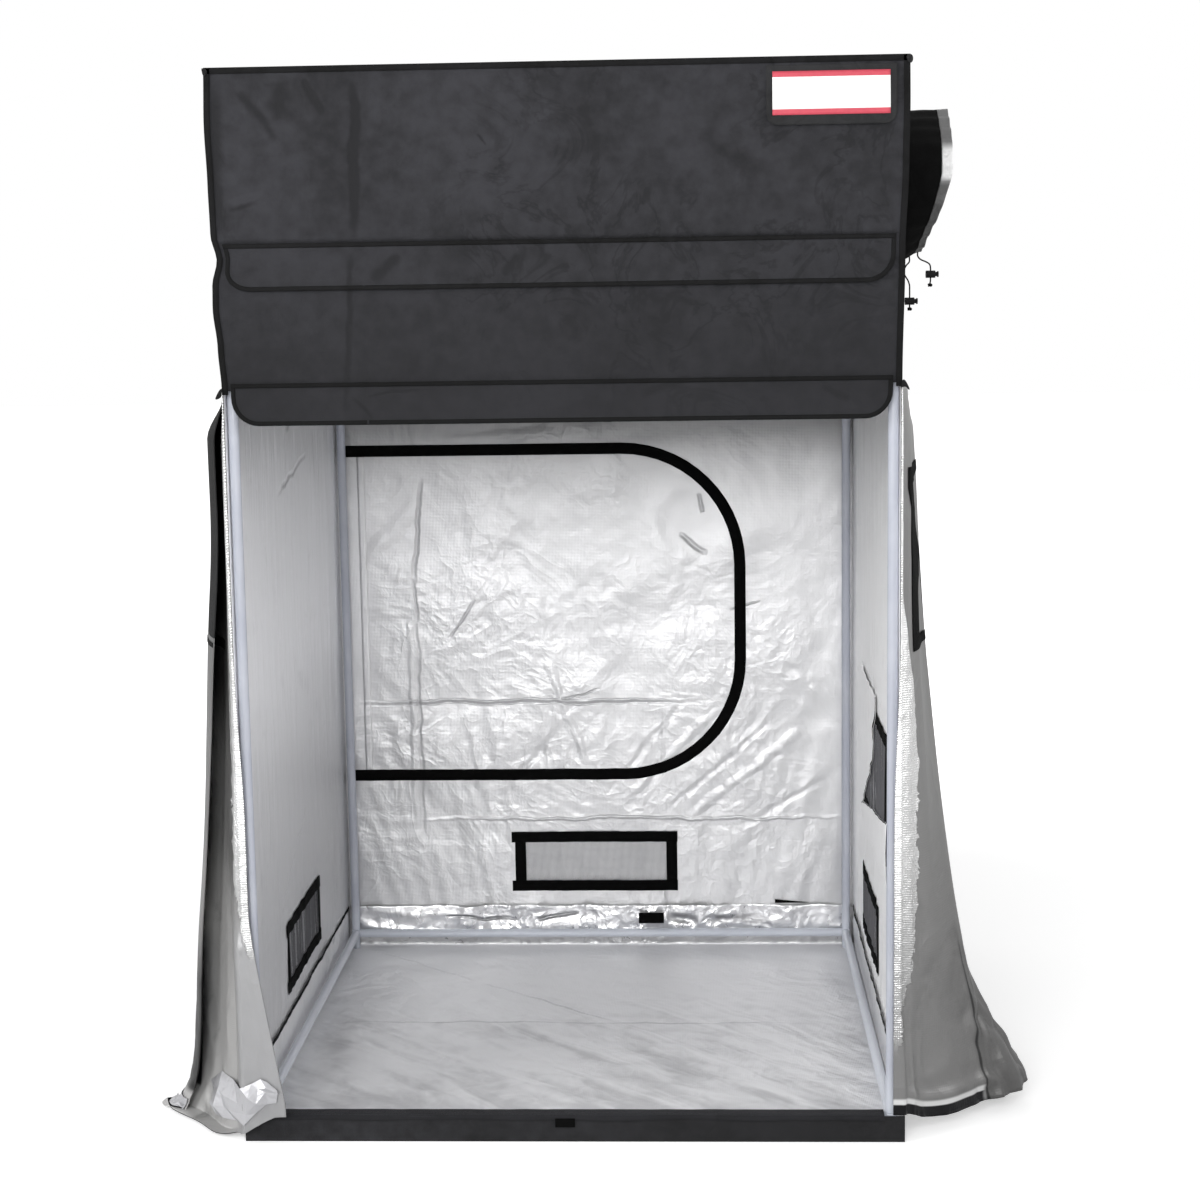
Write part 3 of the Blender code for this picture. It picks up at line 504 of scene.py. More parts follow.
LINING_LEFT = silver_finish(
    "silver_lining_left", (0.58, 0.58, 0.60), (0.98, 0.98, 1.0), 0.45, 0.36, 5.0, 0.0040, 0.2, 0.75,
    # Painted shade: the left wall darkens low down and near the top.
    shade_by_height=((0.0, 0.66), (0.30, 0.60), (0.60, 0.76), (0.85, 1.0), (1.25, 0.98), (1.42, 0.84)),
    # Painted shade and highlight along creases.
    crease_shading=(((-0.20, 0.33), (0.12, 0.47), 0.010, -0.5), ((-0.22, 0.32), (0.10, 0.46), 0.006, 0.4),
             ((0.0, 1.30), (0.16, 1.36), 0.012, 0.35), ((-0.1, 1.18), (0.25, 1.24), 0.010, 0.3)),
    axes=(1, 2))
LINING_SIDE = silver_finish(
    "silver_lining_side", (0.80, 0.80, 0.82), (1.0, 1.0, 1.0), 0.35, 0.36, 5.0, 0.0035, 0.2, 0.7,
    # Painted shade: darker above 1.1 m.
    shade_by_height=((0.0, 1.0), (0.80, 1.0), (1.10, 0.97), (1.40, 0.86)))
LINING_FLOOR = silver_finish(
    "silver_lining_floor", (0.66, 0.66, 0.675), (0.92, 0.92, 0.935), 0.4, 0.40, 5.0,
    # Painted shade and light: dark crease lines, a broad darker band along the front and a lighter one along
    # the back.
    crease_shading=(((-0.583, 0.60), (-0.267, 0.317), 0.006, 0.25), ((-0.267, 0.317), (0.067, 0.032), 0.006, 0.25),
             ((-0.60, 0.036), (0.52, 0.031), 0.005, 0.30), ((0.072, -0.114), (0.433, -0.454), 0.040, 0.42),
             ((-0.358, -0.07), (-0.36, 0.126), 0.03, -0.22), ((-0.173, 0.026), (0.054, -0.222), 0.030, 0.16),
             ((-0.35, -0.20), (-0.10, -0.33), 0.022, 0.20), ((-0.32, -0.16), (-0.02, -0.24), 0.020, -0.2),
             ((-0.56, 0.10), (-0.50, -0.30), 0.06, 0.22), ((-0.9, -0.62), (0.9, -0.62), 0.42, 0.34),
             ((-0.9, 0.62), (0.9, 0.62), 0.60, -0.20)),
    # Painted shade and highlight: the ripples near the front are lighter and darker bands.
    axes=(0, 1), ripples=(-0.78, 13.0, 1.3, -0.10, 0.35))


def cloth(name, columns, rows, size, spot, outside, inside=None, thickness=CANVAS, offset=-1.0):
    """A sheet whose outer face is spot(s, t), s and t from 0 to 1 over its size, with UVs in metres."""
    bpy.ops.object.select_all(action="DESELECT")
    bpy.ops.mesh.primitive_grid_add(x_subdivisions=columns, y_subdivisions=rows, size=1.0)
    piece = bpy.context.object
    piece.name = name
    mesh = piece.data
    places = np.empty(len(mesh.loops) * 2)
    mesh.uv_layers[0].data.foreach_get("uv", places)
    places = places.reshape(-1, 2) * size
    mesh.uv_layers[0].data.foreach_set("uv", places.ravel())
    for vertex in mesh.vertices:
        vertex.co = spot(vertex.co.x + 0.5, vertex.co.y + 0.5)
    mesh.materials.append(outside)
    mesh.materials.append(inside or outside)
    if thickness:
        finish_with(piece, "SOLIDIFY", thickness=thickness, offset=offset, material_offset=1)
    bpy.ops.object.shade_smooth()
    return piece


def finish_with(piece, kind, **settings):
    """Add one modifier with its settings and apply it."""
    bpy.context.view_layer.objects.active = piece
    modifier = piece.modifiers.new(kind.lower(), kind)
    for name, value in settings.items():
        setattr(modifier, name, value)
    bpy.ops.object.modifier_apply(modifier=modifier.name)


def ease(value):
    value = min(max(value, 0.0), 1.0)
    return value * value * (3.0 - 2.0 * value)


def lerp(low, high, share):
    return low + (high - low) * share


def crest(x, y, seed, sharp=1.6):
    """A fold pattern of 0 to 1 whose crests are sharp and whose hollows are wide."""
    return (1.0 - min(abs(noise.noise(Vector((x, y, seed)))) * 2.0, 1.0)) ** sharp


def settle(piece, body, replaced=()):
    """Give a sheet its body and hide the parts that it replaces."""
    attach(piece, body)
    if replaced:
        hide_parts(*replaced)


def trim(name, columns, rows, size, spot, finish, body="tent", thickness=TAPE):
    """A small sewn piece of one finish, its thickness spread to both sides, in its place on a body."""
    settle(cloth(name, columns, rows, size, spot, finish, None, thickness, 0.0), body)


def table_value(table, height):
    """A value from a table of (height, value) rows that run upwards."""
    for (low, first), (high, second) in zip(table, table[1:]):
        if height <= high:
            return lerp(first, second, ease((height - low) / (high - low)))
    return table[-1][1]


# How far the skin is drawn in at the front corners, between the fittings that hold it out.
DRAWN_IN = {
    -1: ((0.0, 0.0), (0.06, 0.001), (0.30, 0.0105), (1.30, 0.0110), (1.415, 0.0112), (1.49, 0.0068),
         (1.56, 0.0005), (1.60, 0.0015), (1.645, 0.0112), (1.69, 0.0015), (1.78, 0.0), (1.88, -0.0026),
         (1.98, 0.0)),
    1: ((0.0, 0.0), (0.06, 0.001), (0.30, 0.0105), (1.42, 0.0115), (1.64, 0.0072), (1.80, 0.001),
        (1.90, -0.0006), (1.98, 0.0)),
}


def drawn_in(side, z):
    return table_value(DRAWN_IN[side], z)


def free_share(a, z, reach=0.09):
    """0 at the wall's edges, where the frame holds it, and 1 a hand's breadth inside them."""
    inside = min(HALF_WIDTH - abs(a), z - 0.01, HEIGHT - 0.01 - z)
    return ease(inside / reach)


SLEEVE_RADIUS = 0.138
SLEEVE_HEIGHT = 1.795


def side_relief(side, y, z):
    """How far a point of a side wall stands out from the plane of the frame's skin."""
    front = ease((-0.30 - y) / 0.30)
    rear = ease((y - 0.38) / 0.24)
    pulled = -drawn_in(side, z) * front - 0.005 * rear * ease(min(z, HEIGHT - z) / 0.2)
    folds = 0.0030 * crest(y * 13.0, z * 1.6, 3.0 + side) + 0.0016 * crest(y * 31.0, z * 4.0, 7.0)
    puffs = 0.0035 * noise.noise(Vector((y * 2.6, z * 2.2, 11.0 * side)))
    free = free_share(y, z)
    if side > 0:
        ring = math.hypot(y, z - SLEEVE_HEIGHT) - SLEEVE_RADIUS
        free *= ease(ring / 0.10)
    seam = math.exp(-((z - EDGE_SEAM) / 0.006) ** 2)
    return pulled + free * (puffs - folds + 0.002) - 0.0012 * seam * free


def back_relief(x, z):
    """How far a point of the back wall stands out."""
    slant = x * 0.9
    fan = crest((x - (z - 0.75) * slant) * 17.0, z * 1.3, 5.0) * ease((0.80 - z) / 0.35)
    gathers = crest(x * 8.0, z * 5.0, 2.0) * 0.6
    crumple = crest(x * 6.0 + z * 3.0, z * 6.0 - x * 2.0, 9.0) + 0.5 * crest(x * 19.0, z * 17.0, 4.0)
    seam = math.exp(-((z - EDGE_SEAM) / 0.006) ** 2)
    free = free_share(x, z)
    puffs = 0.004 * noise.noise(Vector((x * 2.1, z * 2.4, 31.0)))
    if 0.42 < z < 1.23:
        free *= 1.0 - math.exp(-((x - REAR_LEFT) / 0.014) ** 2)
    return free * (puffs - 0.0020 * crumple - 0.0030 * fan - 0.001 * gathers - 0.0012 * seam + 0.0015)


WALLS = {
    "left": (Vector((-1, 0, 0)), Vector((0, 1, 0)), lambda a, z: side_relief(-1, a, z)),
    "right": (Vector((1, 0, 0)), Vector((0, 1, 0)), lambda a, z: side_relief(1, a, z)),
    "back": (Vector((0, 1, 0)), Vector((1, 0, 0)), back_relief),
}


WALL_LININGS = {"left": LINING_LEFT, "right": LINING_SIDE, "back": LINING_BACK}


def wall_point(wall, a, z, out=0.0):
    """A point of a wall: a along it, z up, and out beyond its outer face, with no folds yet."""
    outward, along, _ = WALLS[wall]
    return outward * (HALF_WIDTH + out) + along * a + Vector((0, 0, z))


def ruffle(piece, wall):
    """Move a flat piece of a wall with the wall's own folds."""
    outward, along, relief = WALLS[wall]
    for vertex in piece.data.vertices:
        vertex.co += outward * relief(vertex.co.dot(along), vertex.co.z)


def cut(piece, cutters):
    """Cut openings through a flat sheet with closed blocks, and clear the blocks away."""
    for cutter in cutters:
        finish_with(piece, "BOOLEAN", object=cutter, operation="DIFFERENCE", solver="EXACT")
        bpy.data.objects.remove(cutter)


def flat_wall(wall, name, edge=0.0004):
    """The cut of a whole wall, flat, from corner seam to corner seam."""
    across = 2 * (HALF_WIDTH - edge)
    tall = HEIGHT - 2 * edge
    turn = 1 if wall == "right" else -1
    return cloth(
        name, round(across / WALL_CELL), round(tall / WALL_CELL), (across, tall),
        lambda s, t: wall_point(wall, turn * lerp(-0.5, 0.5, s) * across, edge + t * tall),
        CANVAS_BLACK, WALL_LININGS[wall])


def slab(wall, points, thick=0.02):
    """A closed block through a wall with an outline of (along, height) points."""
    bpy.ops.object.select_all(action="DESELECT")
    bpy.ops.mesh.primitive_circle_add(vertices=len(points), fill_type="NGON")
    cutter = bpy.context.object
    outward = WALLS[wall][0]
    for vertex, (a, z) in zip(cutter.data.vertices, points):
        vertex.co = wall_point(wall, a, z, thick / 2)
    bpy.ops.object.mode_set(mode="EDIT")
    bpy.ops.mesh.select_all(action="SELECT")
    bpy.ops.mesh.extrude_region_move(TRANSFORM_OT_translate={"value": outward * -thick})
    bpy.ops.mesh.select_all(action="SELECT")
    bpy.ops.mesh.normals_make_consistent(inside=False)
    bpy.ops.object.mode_set(mode="OBJECT")
    return cutter


def rectangle(middle, width, bottom, top):
    half = width / 2
    return [(middle - half, bottom), (middle + half, bottom), (middle + half, top), (middle - half, top)]


# Openings, as (middle along the wall, width, bottom, top) of their taped edge.
VENT_WIDTH = 0.394
VENT_BOTTOM = 0.140
VENT_TOP = 0.288
EDGE_TAPE = 0.026
OPENINGS = {
    "left_vent": ("left", 0.025, VENT_WIDTH, VENT_BOTTOM, VENT_TOP),
    "right_vent": ("right", 0.140, VENT_WIDTH, VENT_BOTTOM, VENT_TOP),
    "back_vent": ("back", -0.007, VENT_WIDTH, VENT_BOTTOM, VENT_TOP),
    "side_window": ("right", 0.018, 0.575, 0.435, 0.700),
}
REAR_LEFT, REAR_RIGHT = -0.555, 0.346
REAR_BOTTOM, REAR_TOP = 0.430, 1.217
REAR_RADIUS = 0.280


def rear_door_outline(inset=0.0, steps=14):
    """The D of the rear door from its lower hinge corner round to its upper one."""
    radius = REAR_RADIUS - inset
    points = [(REAR_LEFT + inset, REAR_BOTTOM + inset)]
    for centre, start in ((REAR_BOTTOM + REAR_RADIUS, -90), (REAR_TOP - REAR_RADIUS, 0)):
        for i in range(steps + 1):
            angle = math.radians(start + 90 * i / steps)
            points.append((REAR_RIGHT - REAR_RADIUS + radius * math.cos(angle),
                           centre + radius * math.sin(angle)))
    points.append((REAR_LEFT + inset, REAR_TOP - inset))
    return points


def opening_outline(name, inset=EDGE_TAPE):
    _, middle, width, bottom, top = OPENINGS[name]
    return rectangle(middle, width - 2 * inset, bottom + inset, top - inset)


for wall in ("left", "right", "back"):
    panel = flat_wall(wall, f"{wall}_wall_cloth")
    holes = [slab(wall, opening_outline(name)) for name, row in OPENINGS.items() if row[0] == wall]
    if wall == "back":
        holes.append(slab(wall, rear_door_outline()))
    if wall == "right":
        ring = [math.tau * i / 48 for i in range(48)]
        holes.append(slab(wall, [(SLEEVE_RADIUS * math.cos(a), SLEEVE_HEIGHT + SLEEVE_RADIUS * math.sin(a))
                                 for a in ring]))
    cut(panel, holes)
    ruffle(panel, wall)
    settle(panel, "tent", (f"{wall}_wall",))


# Roof: one square of the same cloth over the top rails, black side up, a little slack between them.

def roof_height(x, y):
    free = ease((HALF_WIDTH - abs(x) - 0.03) / 0.25) * ease((HALF_DEPTH - abs(y) - 0.03) / 0.25)
    slack = 0.004 + 0.004 * noise.noise(Vector((x * 2.3, y * 2.3, 17.0)))
    folds = 0.0028 * crest(x * 7.0 + y * 2.0, y * 5.0 - x * 3.0, 6.0)
    return HEIGHT - free * (slack + folds)


roof = cloth(
    "roof_cloth", 110, 110, (2 * HALF_WIDTH, 2 * HALF_DEPTH),
    lambda s, t: Vector((lerp(-1, 1, s) * HALF_WIDTH, lerp(-1, 1, t) * HALF_DEPTH,
                         roof_height(lerp(-1, 1, s) * HALF_WIDTH, lerp(-1, 1, t) * HALF_DEPTH))),
    CANVAS_BLACK, LINING_SIDE)
settle(roof, "tent", ("roof_panel",))


# Header: the upper front panel and the door header below it, sewn into the corner seams, with a
# slack middle and pack creases. Painted shade and highlights follow its creases, and a fold near its
# left side is also painted as a darker band.

UPPER_SEAM = 1.673
DOOR_SEAM = 1.425
HEADER_BOTTOM = 1.412
PACK_CREASE = -0.346


def header_out(x, z):
    """How far the header stands out from the front plane."""
    free = ease((HALF_WIDTH - abs(x) - 0.012) / 0.10) * ease((HEIGHT - 0.012 - z) / 0.08)
    pins = 1.0 - 0.8 * math.exp(-((z - UPPER_SEAM) / 0.02) ** 2)
    pins *= 1.0 - 0.9 * math.exp(-((z - DOOR_SEAM) / 0.02) ** 2)
    corner = ease((-0.30 - x) / 0.30) * 0.004 * crest(x * 5.0 + z * 4.0, z * 3.0 - x * 5.0, 8.0)
    slack = 0.0035 * noise.noise(Vector((x * 2.6, z * 4.5, 21.0)))
    folds = 0.0014 * crest(x * 5.0 + z * 2.0, z * 9.0, 5.0) + 0.0007 * crest(x * 17.0, z * 15.0, 2.0)
    crease = 0.0018 * math.exp(-((x - PACK_CREASE) / 0.007) ** 2)
    return free * pins * (slack - folds - corner + 0.0015) - crease * free


# Painted shade and highlights along the header's creases: start, end, width and strength of each.
HEADER_CREASE_SHADING = (
    ((-0.354, 1.956), (-0.362, 1.682), 0.013, 0.34), ((-0.368, 1.66), (-0.384, 1.36), 0.009, 0.24),
    ((-0.606, 1.950), (-0.612, 1.680), 0.026, 0.22), ((-0.561, 1.947), (-0.492, 1.848), 0.014, 0.20),
    ((-0.488, 1.954), (-0.489, 1.885), 0.024, 0.20), ((-0.447, 1.955), (-0.413, 1.897), 0.011, 0.24),
    ((-0.587, 1.744), (-0.520, 1.764), 0.009, -0.20), ((-0.590, 1.730), (-0.530, 1.750), 0.006, 0.16),
    ((-0.136, 1.856), (-0.123, 1.835), 0.004, 0.20), ((0.254, 1.857), (0.359, 1.786), 0.03, 0.12),
    ((-0.333, 1.606), (-0.280, 1.651), 0.014, 0.24), ((-0.099, 1.613), (-0.068, 1.655), 0.012, 0.24),
    ((-0.343, 1.399), (-0.247, 1.410), 0.004, 0.24), ((-0.369, 1.399), (-0.337, 1.359), 0.006, 0.24),
    ((0.143, 1.396), (0.233, 1.421), 0.012, 0.2), ((0.463, 1.409), (0.516, 1.382), 0.010, 0.2),
)
HEADER_BLACK = canvas_finish(
    "header_canvas", (0.006, 0.006, 0.008), (0.032, 0.032, 0.038), crease_shading=HEADER_CREASE_SHADING)


def header_point(x, z, out=0.0):
    """A point of the header, drawn in at its two corner seams as the side walls are."""
    side = 1 if x > 0 else -1
    pull = drawn_in(side, z) * ease((abs(x) / HALF_WIDTH - 0.55) / 0.45)
    return Vector((x - side * pull, -HALF_DEPTH - header_out(x, z) - out, z))


for name, node, bottom, top in (
        ("upper_front_cloth", "extension_panel", UPPER_SEAM, HEIGHT - 0.0004),
        ("door_header_cloth", "door_header", HEADER_BOTTOM, UPPER_SEAM)):
    panel = cloth(
        name, 118, round((top - bottom) / WALL_CELL), (2 * HALF_WIDTH, top - bottom),
        lambda s, t: header_point(lerp(-1, 1, s) * HALF_WIDTH, lerp(bottom, top, t)),
        HEADER_BLACK, LINING_SIDE)
    settle(panel, "tent", (node,))


# Storm flaps: two doubled strips of canvas that hang over the zips below the seams. Their lower
# corners are round, and their edge is bound further below, with the other raw edges.

FLAPS = (("extension", "extension_flap", UPPER_SEAM, 0.083), ("door", "door_flap", DOOR_SEAM, 0.075))
FLAP_HALF_WIDTH = 0.603
FLAP_SWELL = 0.04
FLAP_CORNER = 0.050
FLAP_GAP = 0.0003


def flap_point(x, z, top, drop):
    """A flap's outer face, held at its seam and free at its hem."""
    free = ease((top - z) / drop)
    wave = 0.0022 * noise.noise(Vector((x * 3.2, top * 5.0, 3.0))) + 0.0010 * noise.noise(
        Vector((x * 11.0, z * 9.0, 5.0)))
    point = header_point(x, z, FLAP_GAP + CANVAS)
    point.y -= free * (0.0030 + wave)
    return point


def flap_rim(x, drop):
    """How far down a flap reaches at x, with its round corner."""
    into = FLAP_CORNER - (FLAP_HALF_WIDTH - abs(x))
    if into <= 0:
        return drop
    return drop - FLAP_CORNER + math.sqrt(max(FLAP_CORNER**2 - into**2, 0.0))


for name, body, top, drop in FLAPS:
    def flap_spot(s, t):
        swell = math.sin(lerp(-0.5, 0.5, s) * math.pi * 0.999) * FLAP_SWELL
        x = swell + lerp(-1, 1, s) * (FLAP_HALF_WIDTH - FLAP_SWELL)
        x = max(-FLAP_HALF_WIDTH, min(FLAP_HALF_WIDTH, x))
        z = lerp(top - flap_rim(x, drop), top, t)
        return flap_point(x, z, top, drop)
    flap = cloth(f"{name}_flap_cloth", 120, 9, (2 * FLAP_HALF_WIDTH, drop), flap_spot, HEADER_BLACK)
    settle(flap, body, (f"{name}_storm_flap",))


# Door halves: two tall sheets that hang from the ends of the door header by the front corners and
# are folded back round the sides of the tent, silver out in front, with a loose, kicked-out hem.

DOOR_TOP = 1.405
DOOR_HALF = 0.60
DOOR_CUT = (0.52, 1.37)
HINGE_HEM = {1: 0.053, -1: 0.056}
HEM_LOW = {1: 0.030, -1: 0.006}
CORNER_STRIP = 0.035
HINGE_LINE = (0.002, 0.005)
TOP_LINES = {
    1: (HINGE_LINE, (0.008, 0.050), (0.020, 0.130), (0.031, 0.220), (0.040, 0.310),
        (0.045, 0.390), (0.040, 0.425), (0.022, 0.330), (0.008, 0.200)),
    -1: (HINGE_LINE, (0.004, 0.050), (0.012, 0.130), (0.032, 0.220), (0.066, 0.310),
         (0.100, 0.385), (0.117, 0.425), (0.090, 0.280), (0.045, 0.140)),
}
HEM_LINES = {
    1: (HINGE_LINE, (0.035, 0.030), (0.082, 0.065), (0.170, 0.122), (0.295, 0.232),
        (0.368, 0.290), (0.437, 0.375), (0.400, 0.450), (0.310, 0.490)),
    -1: (HINGE_LINE, (0.030, 0.015), (0.066, 0.030), (0.110, 0.055), (0.190, 0.140),
         (0.285, 0.245), (0.335, 0.340), (0.338, 0.315), (0.322, 0.275)),
}
LEFT_SPREAD = (
    (0.0, 0.0), (0.20, 0.0), (0.29, 0.086), (0.49, 0.224), (0.632, 0.324), (0.747, 0.43),
    (0.82, 0.45), (0.90, 0.54), (0.955, 0.60), (0.98, 0.80), (1.0, 1.0), (1.2, 1.0),
)
WING_SPREAD = (
    (0.0, 0.0), (0.127, 0.06), (0.315, 0.12), (0.54, 0.24), (0.655, 0.29), (0.77, 0.38),
    (0.863, 0.57), (0.913, 0.73), (0.95, 0.93), (0.974, 0.99), (1.0, 1.0), (1.2, 1.0),
)
APRON_SHARE = 0.965


def spread(rows, v, blur=0.05):
    """The mean of a table of (height share, spread) around a height share, so that it has no corners."""
    total = 0.0
    for i in range(5):
        at = max(v + blur * (i - 2) / 2 * min(1.0, (1.0 - v) / blur), 0.0)
        for (low, first), (high, second) in zip(rows, rows[1:]):
            if at <= high:
                total += lerp(first, second, (at - low) / (high - low)) / 5
                break
    return total


def line_point(line, u):
    """A point on the smooth line through a row of (out, back) points."""
    spot = u * (len(line) - 1)
    index = min(int(spot), len(line) - 2)
    t = spot - index
    a, b, c, d = (Vector(line[min(max(index + k, 0), len(line) - 1)]) for k in (-1, 0, 1, 2))
    return 0.5 * (2 * b + (c - a) * t + (2 * a - 5 * b + 4 * c - d) * t**2
                  + (3 * b - a - 3 * c + d) * t**3)


SPREADS = {}


def door_spread(side, u, v):
    """How far a column of a door has gone from its top line to its hem line."""
    key = (side, round(v, 5))
    if key not in SPREADS:
        SPREADS[key] = spread(LEFT_SPREAD if side < 0 else WING_SPREAD, v)
    if side < 0:
        return SPREADS[key]
    return v * v + ease((u - 0.5) / 0.25) * (SPREADS[key] - v * v)


def door_middle(side, u, v):
    """The middle of a door's cloth: u from the corner seam round the fold, v from top to hem.
    Below 0, u runs in front of the corner towards the post."""
    strip = min(u, 0.0) / -CORNER_STRIP
    u = max(u, 0.0)
    spot = line_point(TOP_LINES[side], u).lerp(line_point(HEM_LINES[side], u), door_spread(side, u, v))
    away = ease(u / 0.33)
    ripple = 0.006 * v * away * math.sin(math.pi * 7 * u)
    lowered = away if side > 0 else ease((u - strip * CORNER_STRIP + CORNER_STRIP) / 0.36)
    bottom = lerp(HINGE_HEM[side], HEM_LOW[side], lowered)
    fall = v
    if side < 0:
        # The left door is a little long: its hem lies on the floor as an apron.
        fall = lerp(v, min(v / APRON_SHARE, 1.0), away)
    z = DOOR_TOP + (bottom - DOOR_TOP) * fall
    shoulder = 0.30 + 0.70 * ease((DOOR_TOP - z) / 0.09)
    out = (spot.x + ripple) * DOOR_HALF * shoulder
    drawn = drawn_in(side, z) * (1.0 - ease(u / 0.22))
    corner = HALF_WIDTH + out - drawn
    x = lerp(corner, 0.6078 - 0.010 * ease((0.95 - z) / 0.35), strip)
    y = -HALF_DEPTH + spot.y * DOOR_HALF - 0.0046 * (1.0 - ease(u / 0.05))
    if side < 0:
        # The left door's foot swings in before the post, and its hem spreads on the floor.
        low = max(0.0, (0.44 - z) / 0.36)
        swing = min(low, 1.0) ** 1.1 * (1.0 - ease((u + CORNER_STRIP) / 0.42))
        x -= 0.062 * swing
        y -= 0.020 * swing
        before = -HALF_DEPTH - 0.010 - 0.012 * min(low, 1.0)
        y = lerp(y, min(y, before), ease((HALF_WIDTH + 0.020 - x) / 0.025) * min(low * 6.0, 1.0))
    return Vector((side * x, y, z))


def facets(x, y, seed):
    """Flat facets with crisp folds between them, from 0 to 1."""
    warp = noise.noise(Vector((x * 1.7, y * 1.7, seed)))
    first = abs((x * 1.9 + y * 0.8 + warp) % 2.0 - 1.0)
    second = abs((y * 2.1 - x * 1.3 + 2.0 * warp) % 2.0 - 1.0)
    return 0.5 * (first + second)


def door_point(side, u, v, out=0.0):
    """The same with the finer folds of loose cloth along its normal, which points to the lining."""
    step = 0.004
    middle = door_middle(side, u, v)
    along = door_middle(side, min(u + step, 1.0), v) - door_middle(side, max(u - step, -CORNER_STRIP), v)
    down = door_middle(side, u, min(v + step, 1.0)) - door_middle(side, u, max(v - step, 0.0))
    normal = down.cross(along).normalized() * side
    free = ease(u / 0.10)
    low = ease((v - 0.72) / 0.28)
    soft = 0.0045 * noise.noise(Vector((u * 4.0, v * 3.5, 12.0 + side)))
    soft += 0.0030 * (crest(u * 4.0 + v, v * 2.2, 12.0 + side) - 0.4)
    crumple = 0.0040 * (crest(u * 9.0, v * 15.0, 5.0 * side) - 0.3)
    if side > 0:
        # A long crease parts the right door's front face from its wing, and its hem is rolled.
        wing = ease((u - 0.44 - 0.16 * (1.0 - v)) / 0.04)
        crumple += 0.012 * max(0.0, 1.0 - abs(u - 0.52 + 0.16 * (1.0 - v)) / 0.05) - 0.003
        crumple += wing * 0.020 * (facets(u * 5.0, v * 8.0, 4.0) - 0.5)
        soft += 0.006 * math.exp(-((v - 0.972) / 0.008) ** 2) * ease((0.62 - u) / 0.1)
    else:
        # The left door's apron lies smooth.
        apron = ease((v - 0.950) / 0.02) * ease(u / 0.2)
        crumple *= 1.0 - apron
        soft *= 1.0 - apron
    return middle + normal * (free * soft + low * free * crumple + out)


